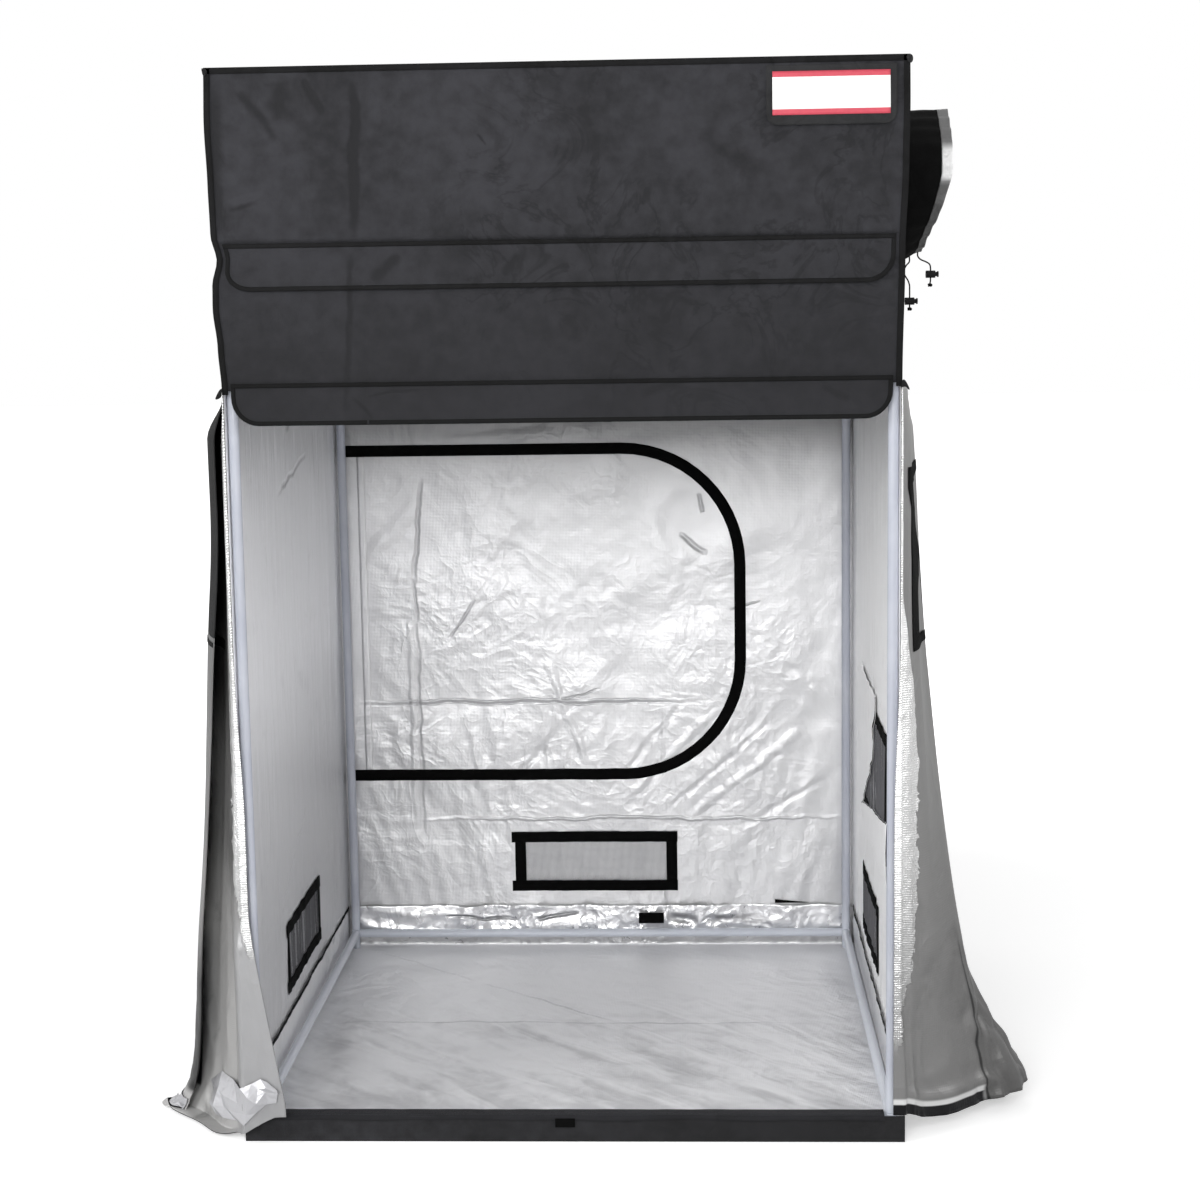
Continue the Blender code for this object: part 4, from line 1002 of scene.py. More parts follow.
def door_lining(name, painted_tones, highlight_widths, dark_reflection, gloss, panel=0.0, hem=None):
    """Silver lining seen at a slant, with its light painted: tones by height paint its shade and dark
    reflections, and a bright, ragged strip of painted highlight has a width by height. The third
    argument is how dark its blotches of painted reflection are, panel the tone of a smooth area by
    the foot of the post, and hem how far down the cloth its turned-up canvas begins."""
    foil = new_finish(name)
    uv = foil.where("UV")
    place = foil.where()
    across = uv.axis("X")
    along = uv.axis("Y")
    height = place.axis("Z")
    blot = foil.noise(place, 20.0 if panel else 9.0, 5.0, 0.6, 0.4)
    cloudy = height + (blot - 0.5) * 0.10 * height.band(0.12, 0.40)
    tone = foil.ramp(cloudy, LINING_TOP, [(z, (t, t * 0.99, t * 0.98)) for z, t in painted_tones])
    highlight_width = foil.ramp(height, LINING_TOP, [(z, w / WIDEST) for z, w in highlight_widths])
    diamonds = ((across + along) * 700.0).sine() * ((across - along) * 700.0).sine()
    ragged = foil.noise(place, 34.0, 4.0, 0.6, 0.6)
    tatters = (0.95 - height).band(0.0, 0.5) * (ragged - 0.5) * 0.13
    # Painted highlight: a bright, ragged strip beside the corner, as wide as the width table gives at each
    # height; glare is its colour.
    shine = (highlight_width * WIDEST - across + tatters + (blot - 0.5) * 0.02).band(0.0, 0.004)
    shine = shine * highlight_width.band(0.02, 0.12)
    glare = foil.mix((height - ragged * 0.2).band(0.15, 0.60), (0.52, 0.52, 0.52), (0.98, 0.98, 0.98))
    small = ridge(foil.noise(place, 26.0, 3.0, 0.5, 0.6))
    soft = ridge(foil.noise(place, 4.5, 3.0, 0.5, 0.7))
    shade = (blot * 0.6 + soft * 0.4).band(0.36, 0.62)
    if panel:
        # Painted light: the side that turns away from the light is painted lighter, so it keeps its tone.
        turned = across.band(0.17, 0.33) * (0.88 - height).band(0.0, 0.2)
        tone = foil.mix(turned * 0.5, tone, (0.62, 0.62, 0.61))
    # Painted reflections: where the blotches are dark, the tone is darkened towards black.
    body = foil.mix(shade, foil.mix(dark_reflection, tone, (0.02, 0.02, 0.02)), tone)
    smooth = (0.17 - across).band(0.0, 0.05) * (0.47 - height).band(0.0, 0.12)
    if panel:
        body = foil.mix(smooth, body, (panel, panel, panel * 1.02))
        # Painted shadow: a dark wedge inside the fold near the foot.
        wedge = (across - (height - 0.05) * 0.22 - 0.312).band(0.0, 0.006) * (0.37 - height).band(0.0, 0.05)
        body = foil.mix(wedge * (height - 0.045).band(0.0, 0.006), body, (0.036, 0.036, 0.040))
    else:
        # Painted light: away from the corner, low down, the cloth is painted a lighter grey.
        outer = across.band(0.06, 0.32) * (0.75 - height).band(0.0, 0.3)
        body = foil.mix(outer, foil.mix(0.3, body, (0.34, 0.34, 0.34)), body)
    bump = soft * 1.6 + small * (shine * 0.8 + 0.2) + diamonds * (shine * 0.10 + 0.02)
    colour = foil.mix(shine, body, glare)
    metal = 0.4
    rough = gloss
    if panel:
        # High up only the bright strip shows its film: the fold beside it is dull.
        dim = height.band(0.90, 0.97) * (1.0 - shine)
        metal = 0.4 - dim * 0.4
        rough = dim * 0.5 + gloss
    if hem:
        # Below the roll the turned-up canvas is black; the roll gets a painted highlight, and the wing
        # beyond the fold and the fold line get painted shade.
        front = (WING_FOLD - across).band(0.0, 0.01)
        low = (0.36 - height).band(0.0, 0.05)
        turned = (along - hem).band(0.0, 0.003) * front
        roll = (along - hem + 0.012).band(0.0, 0.006) * front
        fold = (0.004 - abs(across - WING_FOLD)).band(0.0, 0.003) * low
        colour = foil.mix((1.0 - front) * low * 0.35 + fold * 0.6, colour, (0.02, 0.02, 0.02))
        colour = foil.mix(turned, foil.mix(roll * 0.8, colour, (0.80, 0.80, 0.80)), (0.006, 0.006, 0.007))
    return foil.shape(colour, rough - shine * 0.12 + blot * 0.1, bump, 0.004, Metallic=shine * 0.5 + metal,
                      Specular_IOR_Level=0.15 if panel else 0.3)


LINING_TOP = 1.40
WIDEST = 0.25
WING_FOLD = 0.269
DOOR_BLACK = canvas_finish("door_canvas", (0.006, 0.006, 0.006), (0.034, 0.034, 0.036), 0.7, 0.2)
DEAD_BLACK = canvas_finish("matt_black_tape", (0.0015, 0.0015, 0.0015), (0.004, 0.004, 0.004), 0.9, 0.1)
# Painted light in all three door linings: their tone tables paint shade and dark reflections, their width
# tables a highlight strip.
RIGHT_LINING = door_lining(
    "right_door_lining", ((0.0, 0.16), (0.25, 0.17), (0.60, 0.22), (1.20, 0.24), (1.40, 0.26)),
    ((0.15, 0.0), (0.27, 0.05), (0.35, 0.11), (0.46, 0.143), (0.59, 0.15), (0.72, 0.168), (0.83, 0.143),
     (0.92, 0.093), (1.02, 0.045), (1.40, 0.042)), 0.45, 0.34, hem=0.984 * DOOR_CUT[1])
LEFT_LINING = door_lining(
    "left_door_lining",
    ((0.0, 0.42), (0.10, 0.38), (0.17, 0.36), (0.26, 0.34), (0.35, 0.30), (0.46, 0.26), (0.54, 0.13),
     (0.72, 0.11), (0.93, 0.07), (0.97, 0.02), (1.40, 0.02)),
    ((0.34, 0.0), (0.42, 0.06), (0.50, 0.10), (0.58, 0.13), (0.72, 0.16), (0.91, 0.185),
     (0.99, 0.20), (1.13, 0.215), (1.24, 0.24), (1.40, 0.24)), 0.6, 0.32, 0.35)
BACK_FOLD = door_lining(
    "left_door_back_fold",
    ((0.0, 0.50), (0.040, 0.45), (0.050, 0.012), (0.28, 0.012), (0.36, 0.16), (0.42, 0.20), (0.50, 0.22),
     (0.58, 0.11), (0.93, 0.08), (1.40, 0.03)), ((0.0, 0.0), (1.40, 0.0)), 0.65, 0.28)
DOOR_COLUMNS, DOOR_ROWS = 130, 170
FOLD_SHARE = 0.745
FOLD_PATCH = 0.95


for side, word, lining in ((-1, "left", LEFT_LINING), (1, "right", RIGHT_LINING)):
    door = cloth(
        f"{word}_door_cloth", DOOR_COLUMNS, DOOR_ROWS, DOOR_CUT,
        lambda s, t: door_point(side, lerp(-CORNER_STRIP, 1.0, s), 1.0 - t**1.3 if side < 0 else t),
        DOOR_BLACK if side < 0 else CANVAS_BLACK, lining, offset=0.0)
    if side < 0:
        # Below a seam the layer that hangs outside is turned over, with its lining out.
        door.data.materials.append(BACK_FOLD)
        sheet = (DOOR_COLUMNS + 1) * (DOOR_ROWS + 1)
        for face in door.data.polygons:
            share = face.vertices[0] % sheet % (DOOR_COLUMNS + 1) / DOOR_COLUMNS
            if face.material_index == 0 and face.center.z < FOLD_PATCH and share > FOLD_SHARE:
                face.material_index = 2
    settle(door, f"{word}_door", (f"{word}_door",))


def door_patch(name, first, last, top, bottom, out, finish):
    """A small sewn piece on the left door, between two columns and two height shares."""
    trim(name, 12, 4, ((last - first) * DOOR_CUT[0], (bottom - top) * DOOR_CUT[1]),
         lambda s, t: door_point(-1, lerp(first, last, s), lerp(bottom, top, t), out), finish, "left_door")


SEAM_SHARE = (DOOR_TOP - FOLD_PATCH) / DOOR_TOP
door_patch("left_door_fold_seam", 0.76, 0.995, SEAM_SHARE - 0.002, SEAM_SHARE + 0.004, -0.0018, TRIM_BLACK)
door_patch("left_door_fastener", 0.40, 0.70, SEAM_SHARE - 0.001, SEAM_SHARE + 0.012, 0.0016, DEAD_BLACK)


# Crushed film: where the left door meets the floor its lining is crushed to flat, sharp facets, in
# a pocket before the post and in a small knot behind the fold.

POCKET = (
    ((0.50, 0.948, 0.002), (0.42, 0.955, 0.002), (0.35, 0.952, 0.002), (0.27, 0.955, 0.002),
     (0.20, 0.962, 0.002), (0.13, 0.966, 0.002), (0.06, 0.972, 0.002), (-0.01, 0.978, 0.002)),
    ((0.48, 0.940, 0.004), (0.40, 0.942, 0.017), (0.345, 0.938, 0.004), (0.26, 0.942, 0.018),
     (0.19, 0.950, 0.005), (0.12, 0.953, 0.016), (0.05, 0.955, 0.005), (-0.02, 0.965, 0.003)),
    ((0.50, 0.928, 0.003), (0.38, 0.915, 0.013), (0.33, 0.920, 0.018), (0.24, 0.928, 0.005),
     (0.17, 0.930, 0.019), (0.10, 0.940, 0.006), (0.04, 0.950, 0.010), (-0.02, 0.960, 0.003)),
    ((0.53, 0.922, 0.001), (0.42, 0.898, 0.001), (0.30, 0.900, 0.001), (0.22, 0.908, 0.001),
     (0.15, 0.920, 0.001), (0.08, 0.932, 0.001), (0.03, 0.945, 0.001), (-0.03, 0.967, 0.001)),
)
CRUSHED_SILVER = silver_finish(
    "crushed_silver", (0.18, 0.18, 0.19), (0.52, 0.52, 0.54), 0.5, 0.24, 12.0, 0.002, 0.0)


def pocket_point(s, t):
    row = POCKET[round(t * (len(POCKET) - 1))]
    u, v, lift = row[round((1.0 - s) * (len(row) - 1))]
    return door_point(-1, u, v, 0.0030 + lift)


def knot_point(s, t):
    u, v = lerp(0.80, 0.99, s), lerp(0.950, 0.990, 1.0 - t)
    inside = min(1.0, 2.5 * min(s, 1.0 - s)) * min(1.0, 3.0 * min(t, 1.0 - t))
    high = 0.5 + 0.5 * math.sin(51.6 * (round(s * 5) + 1) + 78.233 * (round(t * 5) + 1))
    return door_point(-1, u, v, -0.0035 - 0.022 * high * inside)


for name, columns, rows, size, point in (
        ("left_door_pocket", len(POCKET[0]) - 1, len(POCKET) - 1, (0.27, 0.09), pocket_point),
        ("left_door_knot", 5, 5, (0.10, 0.055), knot_point)):
    crushed = cloth(name, columns, rows, size, point, CRUSHED_SILVER, thickness=0.0008, offset=0.0)
    bpy.ops.object.shade_flat()
    settle(crushed, "left_door")


# The right door's own window shows its front edge: a black tape down the lining, with a foot.

WINDOW_TAPE = (
    (0.108, 0.13, 0.72), (0.120, 0.13, 0.72), (0.135, 0.13, 0.46), (0.165, 0.20, 0.49), (0.200, 0.25, 0.56),
    (0.235, 0.27, 0.66), (0.285, 0.24, 0.50), (0.335, 0.22, 0.40), (0.341, 0.22, 0.41), (0.345, 0.22, 0.72),
    (0.357, 0.22, 0.72),
)


def window_tape_point(s, t):
    v = lerp(WINDOW_TAPE[0][0], WINDOW_TAPE[-1][0], t)
    for (low, left, right_edge), (high, next_left, next_right) in zip(WINDOW_TAPE, WINDOW_TAPE[1:]):
        if v <= high + 1e-6:
            share = (v - low) / (high - low)
            u = lerp(lerp(left, next_left, share), lerp(right_edge, next_right, share), s)
            return door_point(1, u, v, 0.0022)


trim("right_door_window_tape", 14, 90, (0.03, 0.34), window_tape_point, DEAD_BLACK, "right_door")


# Corner tabs: where each door leaves the header, a folded end of canvas sticks out sideways, and
# where the seams meet at the roof's front corners a small ear does.

TABS = {
    "left_corner_tab": (
        -1, "left_door", DOOR_TOP - 0.010,
        ((0.000, 0.030), (-0.004, 0.016), (0.008, 0.014), (0.018, -0.002), (-0.002, 0.006))),
    "right_corner_tab": (
        1, "right_door", DOOR_TOP - 0.010,
        ((0.000, 0.034), (-0.004, 0.004), (0.006, 0.014), (0.016, 0.004), (0.012, 0.001))),
    "left_roof_ear": (
        -1, "tent", HEIGHT - 0.012,
        ((-0.010, 0.010), (-0.006, 0.000), (0.000, -0.004), (0.003, 0.004), (0.004, 0.015))),
    "right_roof_ear": (
        1, "tent", HEIGHT - 0.012,
        ((-0.010, 0.012), (-0.004, 0.000), (0.002, -0.006), (0.008, 0.004), (0.002, 0.015))),
}
TAB_FRONT = HALF_DEPTH + 0.004


def tab(name, side, base, outline):
    """A small folded piece of canvas, its outline in (outward, height) from its base on the seam."""
    bpy.ops.object.select_all(action="DESELECT")
    bpy.ops.mesh.primitive_circle_add(vertices=len(outline), fill_type="TRIFAN")
    piece = bpy.context.object
    piece.name = name
    mesh = piece.data
    middle = Vector((sum(a for a, _ in outline), sum(b for _, b in outline))) / len(outline)
    for vertex, (a, b) in zip(mesh.vertices, [*outline, tuple(middle)]):
        at_middle = vertex.index == len(outline)
        vertex.co = (side * (HALF_WIDTH - drawn_in(side, base) + a),
                     -TAB_FRONT - (0.004 if at_middle else 0.0) + 0.15 * a, base + b)
    mesh.materials.append(DOOR_BLACK)
    finish_with(piece, "SOLIDIFY", thickness=2 * CANVAS, offset=0.0)
    finish_with(piece, "SUBSURF", levels=2)
    bpy.ops.object.shade_smooth()
    return piece


for name, (side, body, base, outline) in TABS.items():
    settle(tab(name, side, base, outline), body)


# Bound edges: a black tape folded round the raw edge of a sheet and stitched through.

def bound_edge(name, rim, place, width, body):
    """The bound edge of a hanging flap: rim is its outline, place(along, height) its outer face."""
    count = len(rim) - 1
    thick, raised = CANVAS, 0.0006
    section = ((width, raised * 0.5), (width * 0.5, raised), (0.0006, raised), (-0.0008, -thick * 0.15),
               (-0.0010, -thick * 0.5), (-0.0008, -thick * 0.85), (0.0006, -thick - raised),
               (width * 0.5, -thick - raised), (width, -thick - raised * 0.5))

    def rim_point(t, inset=0.0):
        a, z, i, j = rim[round(t * count)]
        return place(a + i * inset, z + j * inset)

    frames = []
    for i in range(count + 1):
        t = i / count
        edge = rim_point(t)
        inward = (rim_point(t, 0.002) - edge).normalized()
        ahead = rim_point(min(t + 0.5 / count, 1.0)) - rim_point(max(t - 0.5 / count, 0.0))
        frames.append((edge, inward, ahead.normalized().cross(inward).normalized()))

    def spot(s, t):
        edge, inward, normal = frames[round(t * count)]
        into, out = section[round(s * (len(section) - 1))]
        return edge + inward * into + normal * out

    length = line_length([edge for edge, _, _ in frames])
    trim(name, len(section) - 1, count, (2 * width, length), spot, TRIM_BLACK, body, thickness=0.0005)


def skirt_outline(left, right, bottom, top, radius, step=0.009):
    """Points (along, height, inward along, inward height) down, across and up a hanging flap's edge."""
    turns = 8
    rows = max(1, round((top - bottom - radius) / step))
    columns = max(1, round((right - left - 2 * radius) / step))

    def corner(middle, start):
        for i in range(turns):
            angle = math.radians(start + 90 * i / turns)
            yield (middle + radius * math.cos(angle), bottom + radius + radius * math.sin(angle),
                   -math.cos(angle), -math.sin(angle))

    heights = [lerp(top, bottom + radius, i / rows) for i in range(rows)]
    return [
        *((left, z, 1, 0) for z in heights), *corner(left + radius, 180),
        *((lerp(left + radius, right - radius, i / columns), bottom, 0, 1) for i in range(columns)),
        *corner(right - radius, 270), *((right, z, -1, 0) for z in reversed(heights)),
    ]


for name, body, top, drop in FLAPS:
    rim = skirt_outline(-FLAP_HALF_WIDTH, FLAP_HALF_WIDTH, top - drop, top, FLAP_CORNER)
    bound_edge(f"{name}_flap_binding", rim, lambda a, z: flap_point(a, z, top, drop), 0.007, body)

    def seam_point(s, t):
        z = top - 0.0003 - 0.0075 * (1.0 - s)
        raised = Vector((0, -0.0006 - 0.0010 * math.sin(math.pi * s), 0))
        return flap_point(lerp(-1, 1, t) * FLAP_HALF_WIDTH, z, top, drop) + raised
    seam = cloth(f"{name}_flap_seam_tape", 4, 120, (0.008, 2 * FLAP_HALF_WIDTH), seam_point, TRIM_BLACK,
                 thickness=0.0006)
    settle(seam, body)


# Rear door: a D-shaped panel of the back wall, zipped round its curved side. Inside, a wide black
# tape covers the zip, and outside two narrow zip tapes carry its coil.

REAR_TAPE = 0.027
ZIP_TAPE = 0.013
COIL = 0.0024
HINGE_HALF = 0.009


def band(name, wall, first, second, out, finish, thickness=TAPE, columns=3, step=0.009):
    """A strip between two outlines of (along, height) points on a wall, with the wall's folds."""
    rows = []
    pairs = list(zip(first, second))
    for (a, c), (b, d) in zip(pairs, pairs[1:]):
        a, b, c, d = Vector(a), Vector(b), Vector(c), Vector(d)
        count = max(1, round(max((b - a).length, (d - c).length) / step))
        rows += [(a.lerp(b, i / count), c.lerp(d, i / count)) for i in range(count)]
    rows.append((Vector(pairs[-1][0]), Vector(pairs[-1][1])))
    width = (rows[0][1] - rows[0][0]).length
    length = line_length([row[0] for row in rows])

    def spot(s, t):
        near, far = rows[round(t * (len(rows) - 1))]
        point = near.lerp(far, s)
        return wall_point(wall, point.x, point.y, out)

    piece = cloth(name, columns, len(rows) - 1, (width, length), spot, finish, thickness=thickness,
                  offset=0.0)
    ruffle(piece, wall)
    return piece


def join(first, others):
    bpy.ops.object.select_all(action="DESELECT")
    for piece in [first, *others]:
        piece.select_set(True)
    bpy.context.view_layer.objects.active = first
    bpy.ops.object.join()
    return first


def coil_along(name, wall, points, out, finish):
    """The coil of a zip along a line of (along, height) points."""
    line = []
    for a, b in zip(points, points[1:]):
        a, b = Vector(a), Vector(b)
        count = max(1, round((b - a).length / 0.008))
        line += [a.lerp(b, i / count) for i in range(count)]
    line.append(Vector(points[-1]))
    outward, along, relief = WALLS[wall]
    spots = [wall_point(wall, p.x, p.y, out) + outward * relief(p.x, p.y) for p in line]
    made = cord_curve(name, spots, COIL, finish)
    made.data.bevel_resolution = 2
    bpy.ops.object.select_all(action="DESELECT")
    made.select_set(True)
    bpy.context.view_layer.objects.active = made
    bpy.ops.object.convert(target="MESH")
    return bpy.context.object


coil_paint = new_finish("zip_coil")
spot = coil_paint.where()
turn = spot.axis("X") + spot.axis("Z")
teeth = (turn * 2500.0).sine()
COIL_BLACK = coil_paint.shape(
    coil_paint.mix(teeth.band(-1.0, 1.0), (0.008, 0.008, 0.009), (0.030, 0.030, 0.033)), 0.35, teeth,
    0.0004)

width, height = REAR_RIGHT - REAR_LEFT, REAR_TOP - REAR_BOTTOM
door = cloth(
    "rear_door_cloth", round(width / WALL_CELL), round(height / WALL_CELL), (width, height),
    lambda s, t: wall_point("back", lerp(REAR_RIGHT, REAR_LEFT, s), lerp(REAR_BOTTOM, REAR_TOP, t)),
    CANVAS_BLACK, LINING_BACK)
keeper = slab("back", rear_door_outline(0.0006))
finish_with(door, "BOOLEAN", object=keeper, operation="INTERSECT", solver="EXACT")
bpy.data.objects.remove(keeper)
ruffle(door, "back")
settle(door, "rear_door", ("rear_door",))

lines = []
for inset in (-REAR_TAPE / 2, REAR_TAPE / 2):
    # Past the hinge the tape runs on to the corner seam, behind the post.
    line = rear_door_outline(inset)
    lines.append([(-0.606, line[0][1]), *line[1:-1], (-0.606, line[-1][1])])
tape = band("rear_door_tape_cloth", "back", *lines, -CANVAS - 0.0014, DEAD_BLACK)
settle(tape, "tent", ("rear_door_tape",))
hinge_ends = (REAR_BOTTOM + 0.010, REAR_TOP - 0.010)
hinge = band("rear_door_hinge_strip", "back",
             *([(REAR_LEFT + off, z) for z in hinge_ends] for off in (-HINGE_HALF, HINGE_HALF)),
             -CANVAS - 0.0004, LINING_BACK, 0.0004)
settle(hinge, "tent")
for name, body, near, far, coil in (
        ("rear_zip_wall_side", "tent", -ZIP_TAPE, -0.0010, -0.0016),
        ("rear_zip_door_side", "rear_door", 0.0010, ZIP_TAPE, 0.0016)):
    side = band(name, "back", rear_door_outline(near), rear_door_outline(far), 0.0005, TRIM_BLACK, 0.0006)
    side = join(side, [coil_along(name + "_coil", "back", rear_door_outline(coil), 0.0014, COIL_BLACK)])
    settle(side, body)

metal = new_finish("zip_metal")
spot = metal.where()
rub = metal.noise(spot, 160.0, 4.0)
ZIP_METAL = metal.shape(metal.mix(rub, (0.30, 0.30, 0.31), (0.52, 0.52, 0.53)), rub * 0.2 + 0.25, rub,
                        0.0003, Metallic=1.0)
coat(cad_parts["rear_zip_slider"], ZIP_METAL)


# Low vents and side window: netting in a hole of the wall, a black tape stitched round it inside,
# and a cover of canvas outside that hangs from its top seam and closes with touch fastener.

NET_PITCH = 0.0028
WINDOW_NET_PITCH = 0.0034
NET_THREAD = 0.0007
COVER_LAP = 0.018
COVER_CORNER = 0.012
TAPE_END = 0.008

net_paint = new_finish("grey_netting")
spot = net_paint.where()
fuzz = net_paint.noise(spot, 700.0, 3.0)
NET_GREY = net_paint.shape(
    net_paint.mix(fuzz, (0.085, 0.085, 0.092), (0.15, 0.15, 0.16)), 0.6, fuzz, 0.0002)
COVER_SILVER = silver_finish(
    "silver_cover_back", (0.76, 0.76, 0.77), (0.96, 0.96, 0.97), 0.4, 0.40, 4.0, 0.002, 0.2)

for name, (wall, middle, width, bottom, top) in OPENINGS.items():
    body = "window_cover" if name == "side_window" else name.split("_")[0] + "_cover"
    turn = 1 if wall == "right" else -1
    net_width, net_height = width - 1.2 * EDGE_TAPE, top - bottom - 1.2 * EDGE_TAPE
    net_middle = (bottom + top) / 2
    pitch = WINDOW_NET_PITCH if name == "side_window" else NET_PITCH
    net = cloth(
        f"{name}_net", round(net_width / pitch), round(net_height / pitch), (net_width, net_height),
        lambda s, t: wall_point(wall, middle + turn * (s - 0.5) * net_width,
                                net_middle + (t - 0.5) * net_height, -CANVAS - 0.0006),
        NET_GREY, thickness=0)
    finish_with(net, "WIREFRAME", thickness=NET_THREAD, use_replace=True, use_even_offset=False)
    ruffle(net, wall)
    settle(net, "tent", (f"{name}_mesh",))

    left, right_ = middle - width / 2, middle + width / 2
    strips = []
    for row, (z_low, z_high) in enumerate(((bottom, bottom + EDGE_TAPE), (top - EDGE_TAPE, top))):
        strips.append(band(f"{name}_tape_{row}", wall, [(left - TAPE_END, z_low), (right_ + 0.001, z_low)],
                           [(left - TAPE_END, z_high), (right_ + 0.001, z_high)], -CANVAS - 0.0021,
                           DEAD_BLACK))
    for row, (a_low, a_high) in enumerate(((left, left + EDGE_TAPE), (right_ - EDGE_TAPE, right_))):
        strips.append(band(f"{name}_tape_side_{row}", wall, [(a_low, bottom), (a_low, top)],
                           [(a_high, bottom), (a_high, top)], -CANVAS - 0.0013, DEAD_BLACK))
    strips[0].name = f"{name}_edge_tape"
    settle(join(strips[0], strips[1:]), "tent", (f"{name}_tape",))

    half, low, high = width / 2 + COVER_LAP, bottom - COVER_LAP, top + COVER_LAP
    rim = skirt_outline(middle - half, middle + half, low, high, COVER_CORNER)

    def cover_point(a, z):
        outward, along, relief = WALLS[wall]
        hang = ease((high - z) / (high - low)) * (0.0012 + 0.0012 * noise.noise(
            Vector((a * 9.0, z * 9.0, 4.0))))
        return wall_point(wall, a, z, FLAP_GAP + CANVAS + hang) + outward * relief(a, z)

    def cover_spot(s, t):
        a = lerp(-1, 1, s) * half
        into = COVER_CORNER - (half - abs(a))
        rise = COVER_CORNER - math.sqrt(max(COVER_CORNER**2 - max(into, 0.0) ** 2, 0.0))
        return cover_point(middle + turn * a, lerp(low + rise, high, t))
    cover = cloth(f"{name}_cover_cloth", round(2 * half / 0.009), round((high - low) / 0.009),
                  (2 * half, high - low), cover_spot, CANVAS_BLACK, COVER_SILVER)
    settle(cover, body, (f"{name}_cover",))
    bound_edge(f"{name}_cover_binding", rim, cover_point, 0.009, body)


# Slack lining: a fold of the right wall's film sags before the side window and hides its rear and
# lower edges. Its raw edge is bound with a thin black thread.

WINDOW_FOLDS = {
    "rear": ((0.330, 0.420), (0.330, 0.750),
             ((0.305, 0.428), (0.235, 0.470), (0.130, 0.525), (0.055, 0.580), (0.010, 0.640),
              (-0.030, 0.705), (-0.040, 0.735))),
    "foot": ((-0.300, 0.395), (0.315, 0.395),
             ((-0.300, 0.530), (-0.200, 0.515), (-0.050, 0.493), (0.080, 0.472), (0.200, 0.452),
              (0.315, 0.430))),
}


def polyline(points, t):
    spot = t * (len(points) - 1)
    index = min(int(spot), len(points) - 2)
    return Vector(points[index]).lerp(Vector(points[index + 1]), spot - index)


for name, (first, second, edge) in WINDOW_FOLDS.items():
    def fold_point(s, t, out=0.0):
        outer = Vector(first).lerp(Vector(second), t)
        point = outer.lerp(polyline(edge, t), 1.0 - s)
        bulge = 0.0014 * math.sin(math.pi * s)
        bulge += 0.0010 * noise.noise(Vector((point.x * 12.0, point.y * 12.0, 6.0)))
        place = wall_point("right", point.x, point.y, -CANVAS - 0.0042 - bulge - out)
        return place + Vector((side_relief(1, point.x, point.y), 0, 0))
    turned = name == "foot"
    trim(f"side_window_fold_{name}", 24, 40, (0.30, 0.30),
         lambda s, t: fold_point(1.0 - s if turned else s, t), LINING_SIDE)
    trim(f"side_window_fold_{name}_edge", 3, 60, (0.004, 0.30),
         lambda s, t: fold_point(0.016 * s, t, 0.0012), DEAD_BLACK)


# Duct sleeve: a sock of canvas sewn into the right wall, gathered towards its mouth, where a
# silver cuff holds the draw cords.

SLEEVE_TOP_LENGTH = 0.133
SLEEVE_FOOT_LENGTH = 0.084
SLEEVE_FOLD = 0.0035
SLEEVE_SAG = 0.018
CUFF_SHARE = 0.84


def sleeve_point(angle, share, out):
    """A point of the sleeve, out metres from its seam. The angle is measured from the top."""
    rise = math.cos(angle)
    slope = min(max((0.05 - rise) / 1.05, 0.0), 1.0)
    length = lerp(SLEEVE_TOP_LENGTH, SLEEVE_FOOT_LENGTH, slope ** 1.1)
    radius = SLEEVE_RADIUS + out + SLEEVE_FOLD * share * math.sin(7 * angle)
    radius += 0.0018 * share * math.sin(23 * angle + 1.0) * (1.0 + 0.5 * math.sin(3 * angle))
    radius += 0.0016 * math.sin(math.pi * share) * noise.noise(
        Vector((math.cos(angle) * 3.0, math.sin(angle) * 3.0, share * 4.0)))
    sag = SLEEVE_SAG * math.sin(math.pi * min(share, 1.0)) ** 2 * max(0.0, -rise)
    return Vector((HALF_WIDTH + 0.0003 + length * share, -radius * math.sin(angle),
                   SLEEVE_HEIGHT + radius * rise - sag))


def ring_cloth(name, rows, low, high, outside, inside, out):
    """A closed ring of the sleeve between two shares of its length."""
    piece = cloth(name, 144, rows, (math.tau * SLEEVE_RADIUS, 0.11 * (high - low)),
                  lambda s, t: sleeve_point(math.tau * s, lerp(low, high, t), out), outside, inside, 0)
    bpy.ops.object.mode_set(mode="EDIT")
    bpy.ops.mesh.select_all(action="SELECT")
    bpy.ops.mesh.remove_doubles(threshold=0.00005)
    bpy.ops.object.mode_set(mode="OBJECT")
    finish_with(piece, "SOLIDIFY", thickness=CANVAS, offset=-1.0, material_offset=1)
    return piece


SLEEVE_BLACK = canvas_finish("sleeve_canvas", (0.0015, 0.0015, 0.0015), (0.006, 0.006, 0.006), 0.8, 0.12)
# Painted highlight and shade: the cuff is bright only in a band just above its middle, and dark above and
# below.
CUFF_SILVER = silver_finish(
    "silver_cuff", (0.55, 0.55, 0.54), (1.0, 1.0, 1.0), 0.35, 0.34, 24.0, 0.002,
    shade_by_height=((0.0, 0.10), (1.70, 0.09), (1.785, 0.13), (1.797, 0.95), (1.845, 0.90), (1.865, 0.17),
          (1.98, 0.20)))
sleeve = ring_cloth("duct_sleeve_cloth", 22, 0.0, CUFF_SHARE + 0.02, SLEEVE_BLACK, LINING_SIDE, 0.0009)
settle(sleeve, "tent", ("duct_sleeve",))
cuff = ring_cloth("duct_sleeve_cuff", 8, CUFF_SHARE, 1.0, CUFF_SILVER, CUFF_SILVER, 0.0016)
settle(cuff, "tent")


# Cord locks: moulded black nylon barrels with a sprung plunger, threaded on the draw cords. They
# are as the frame gives them, and get the grained black plastic.

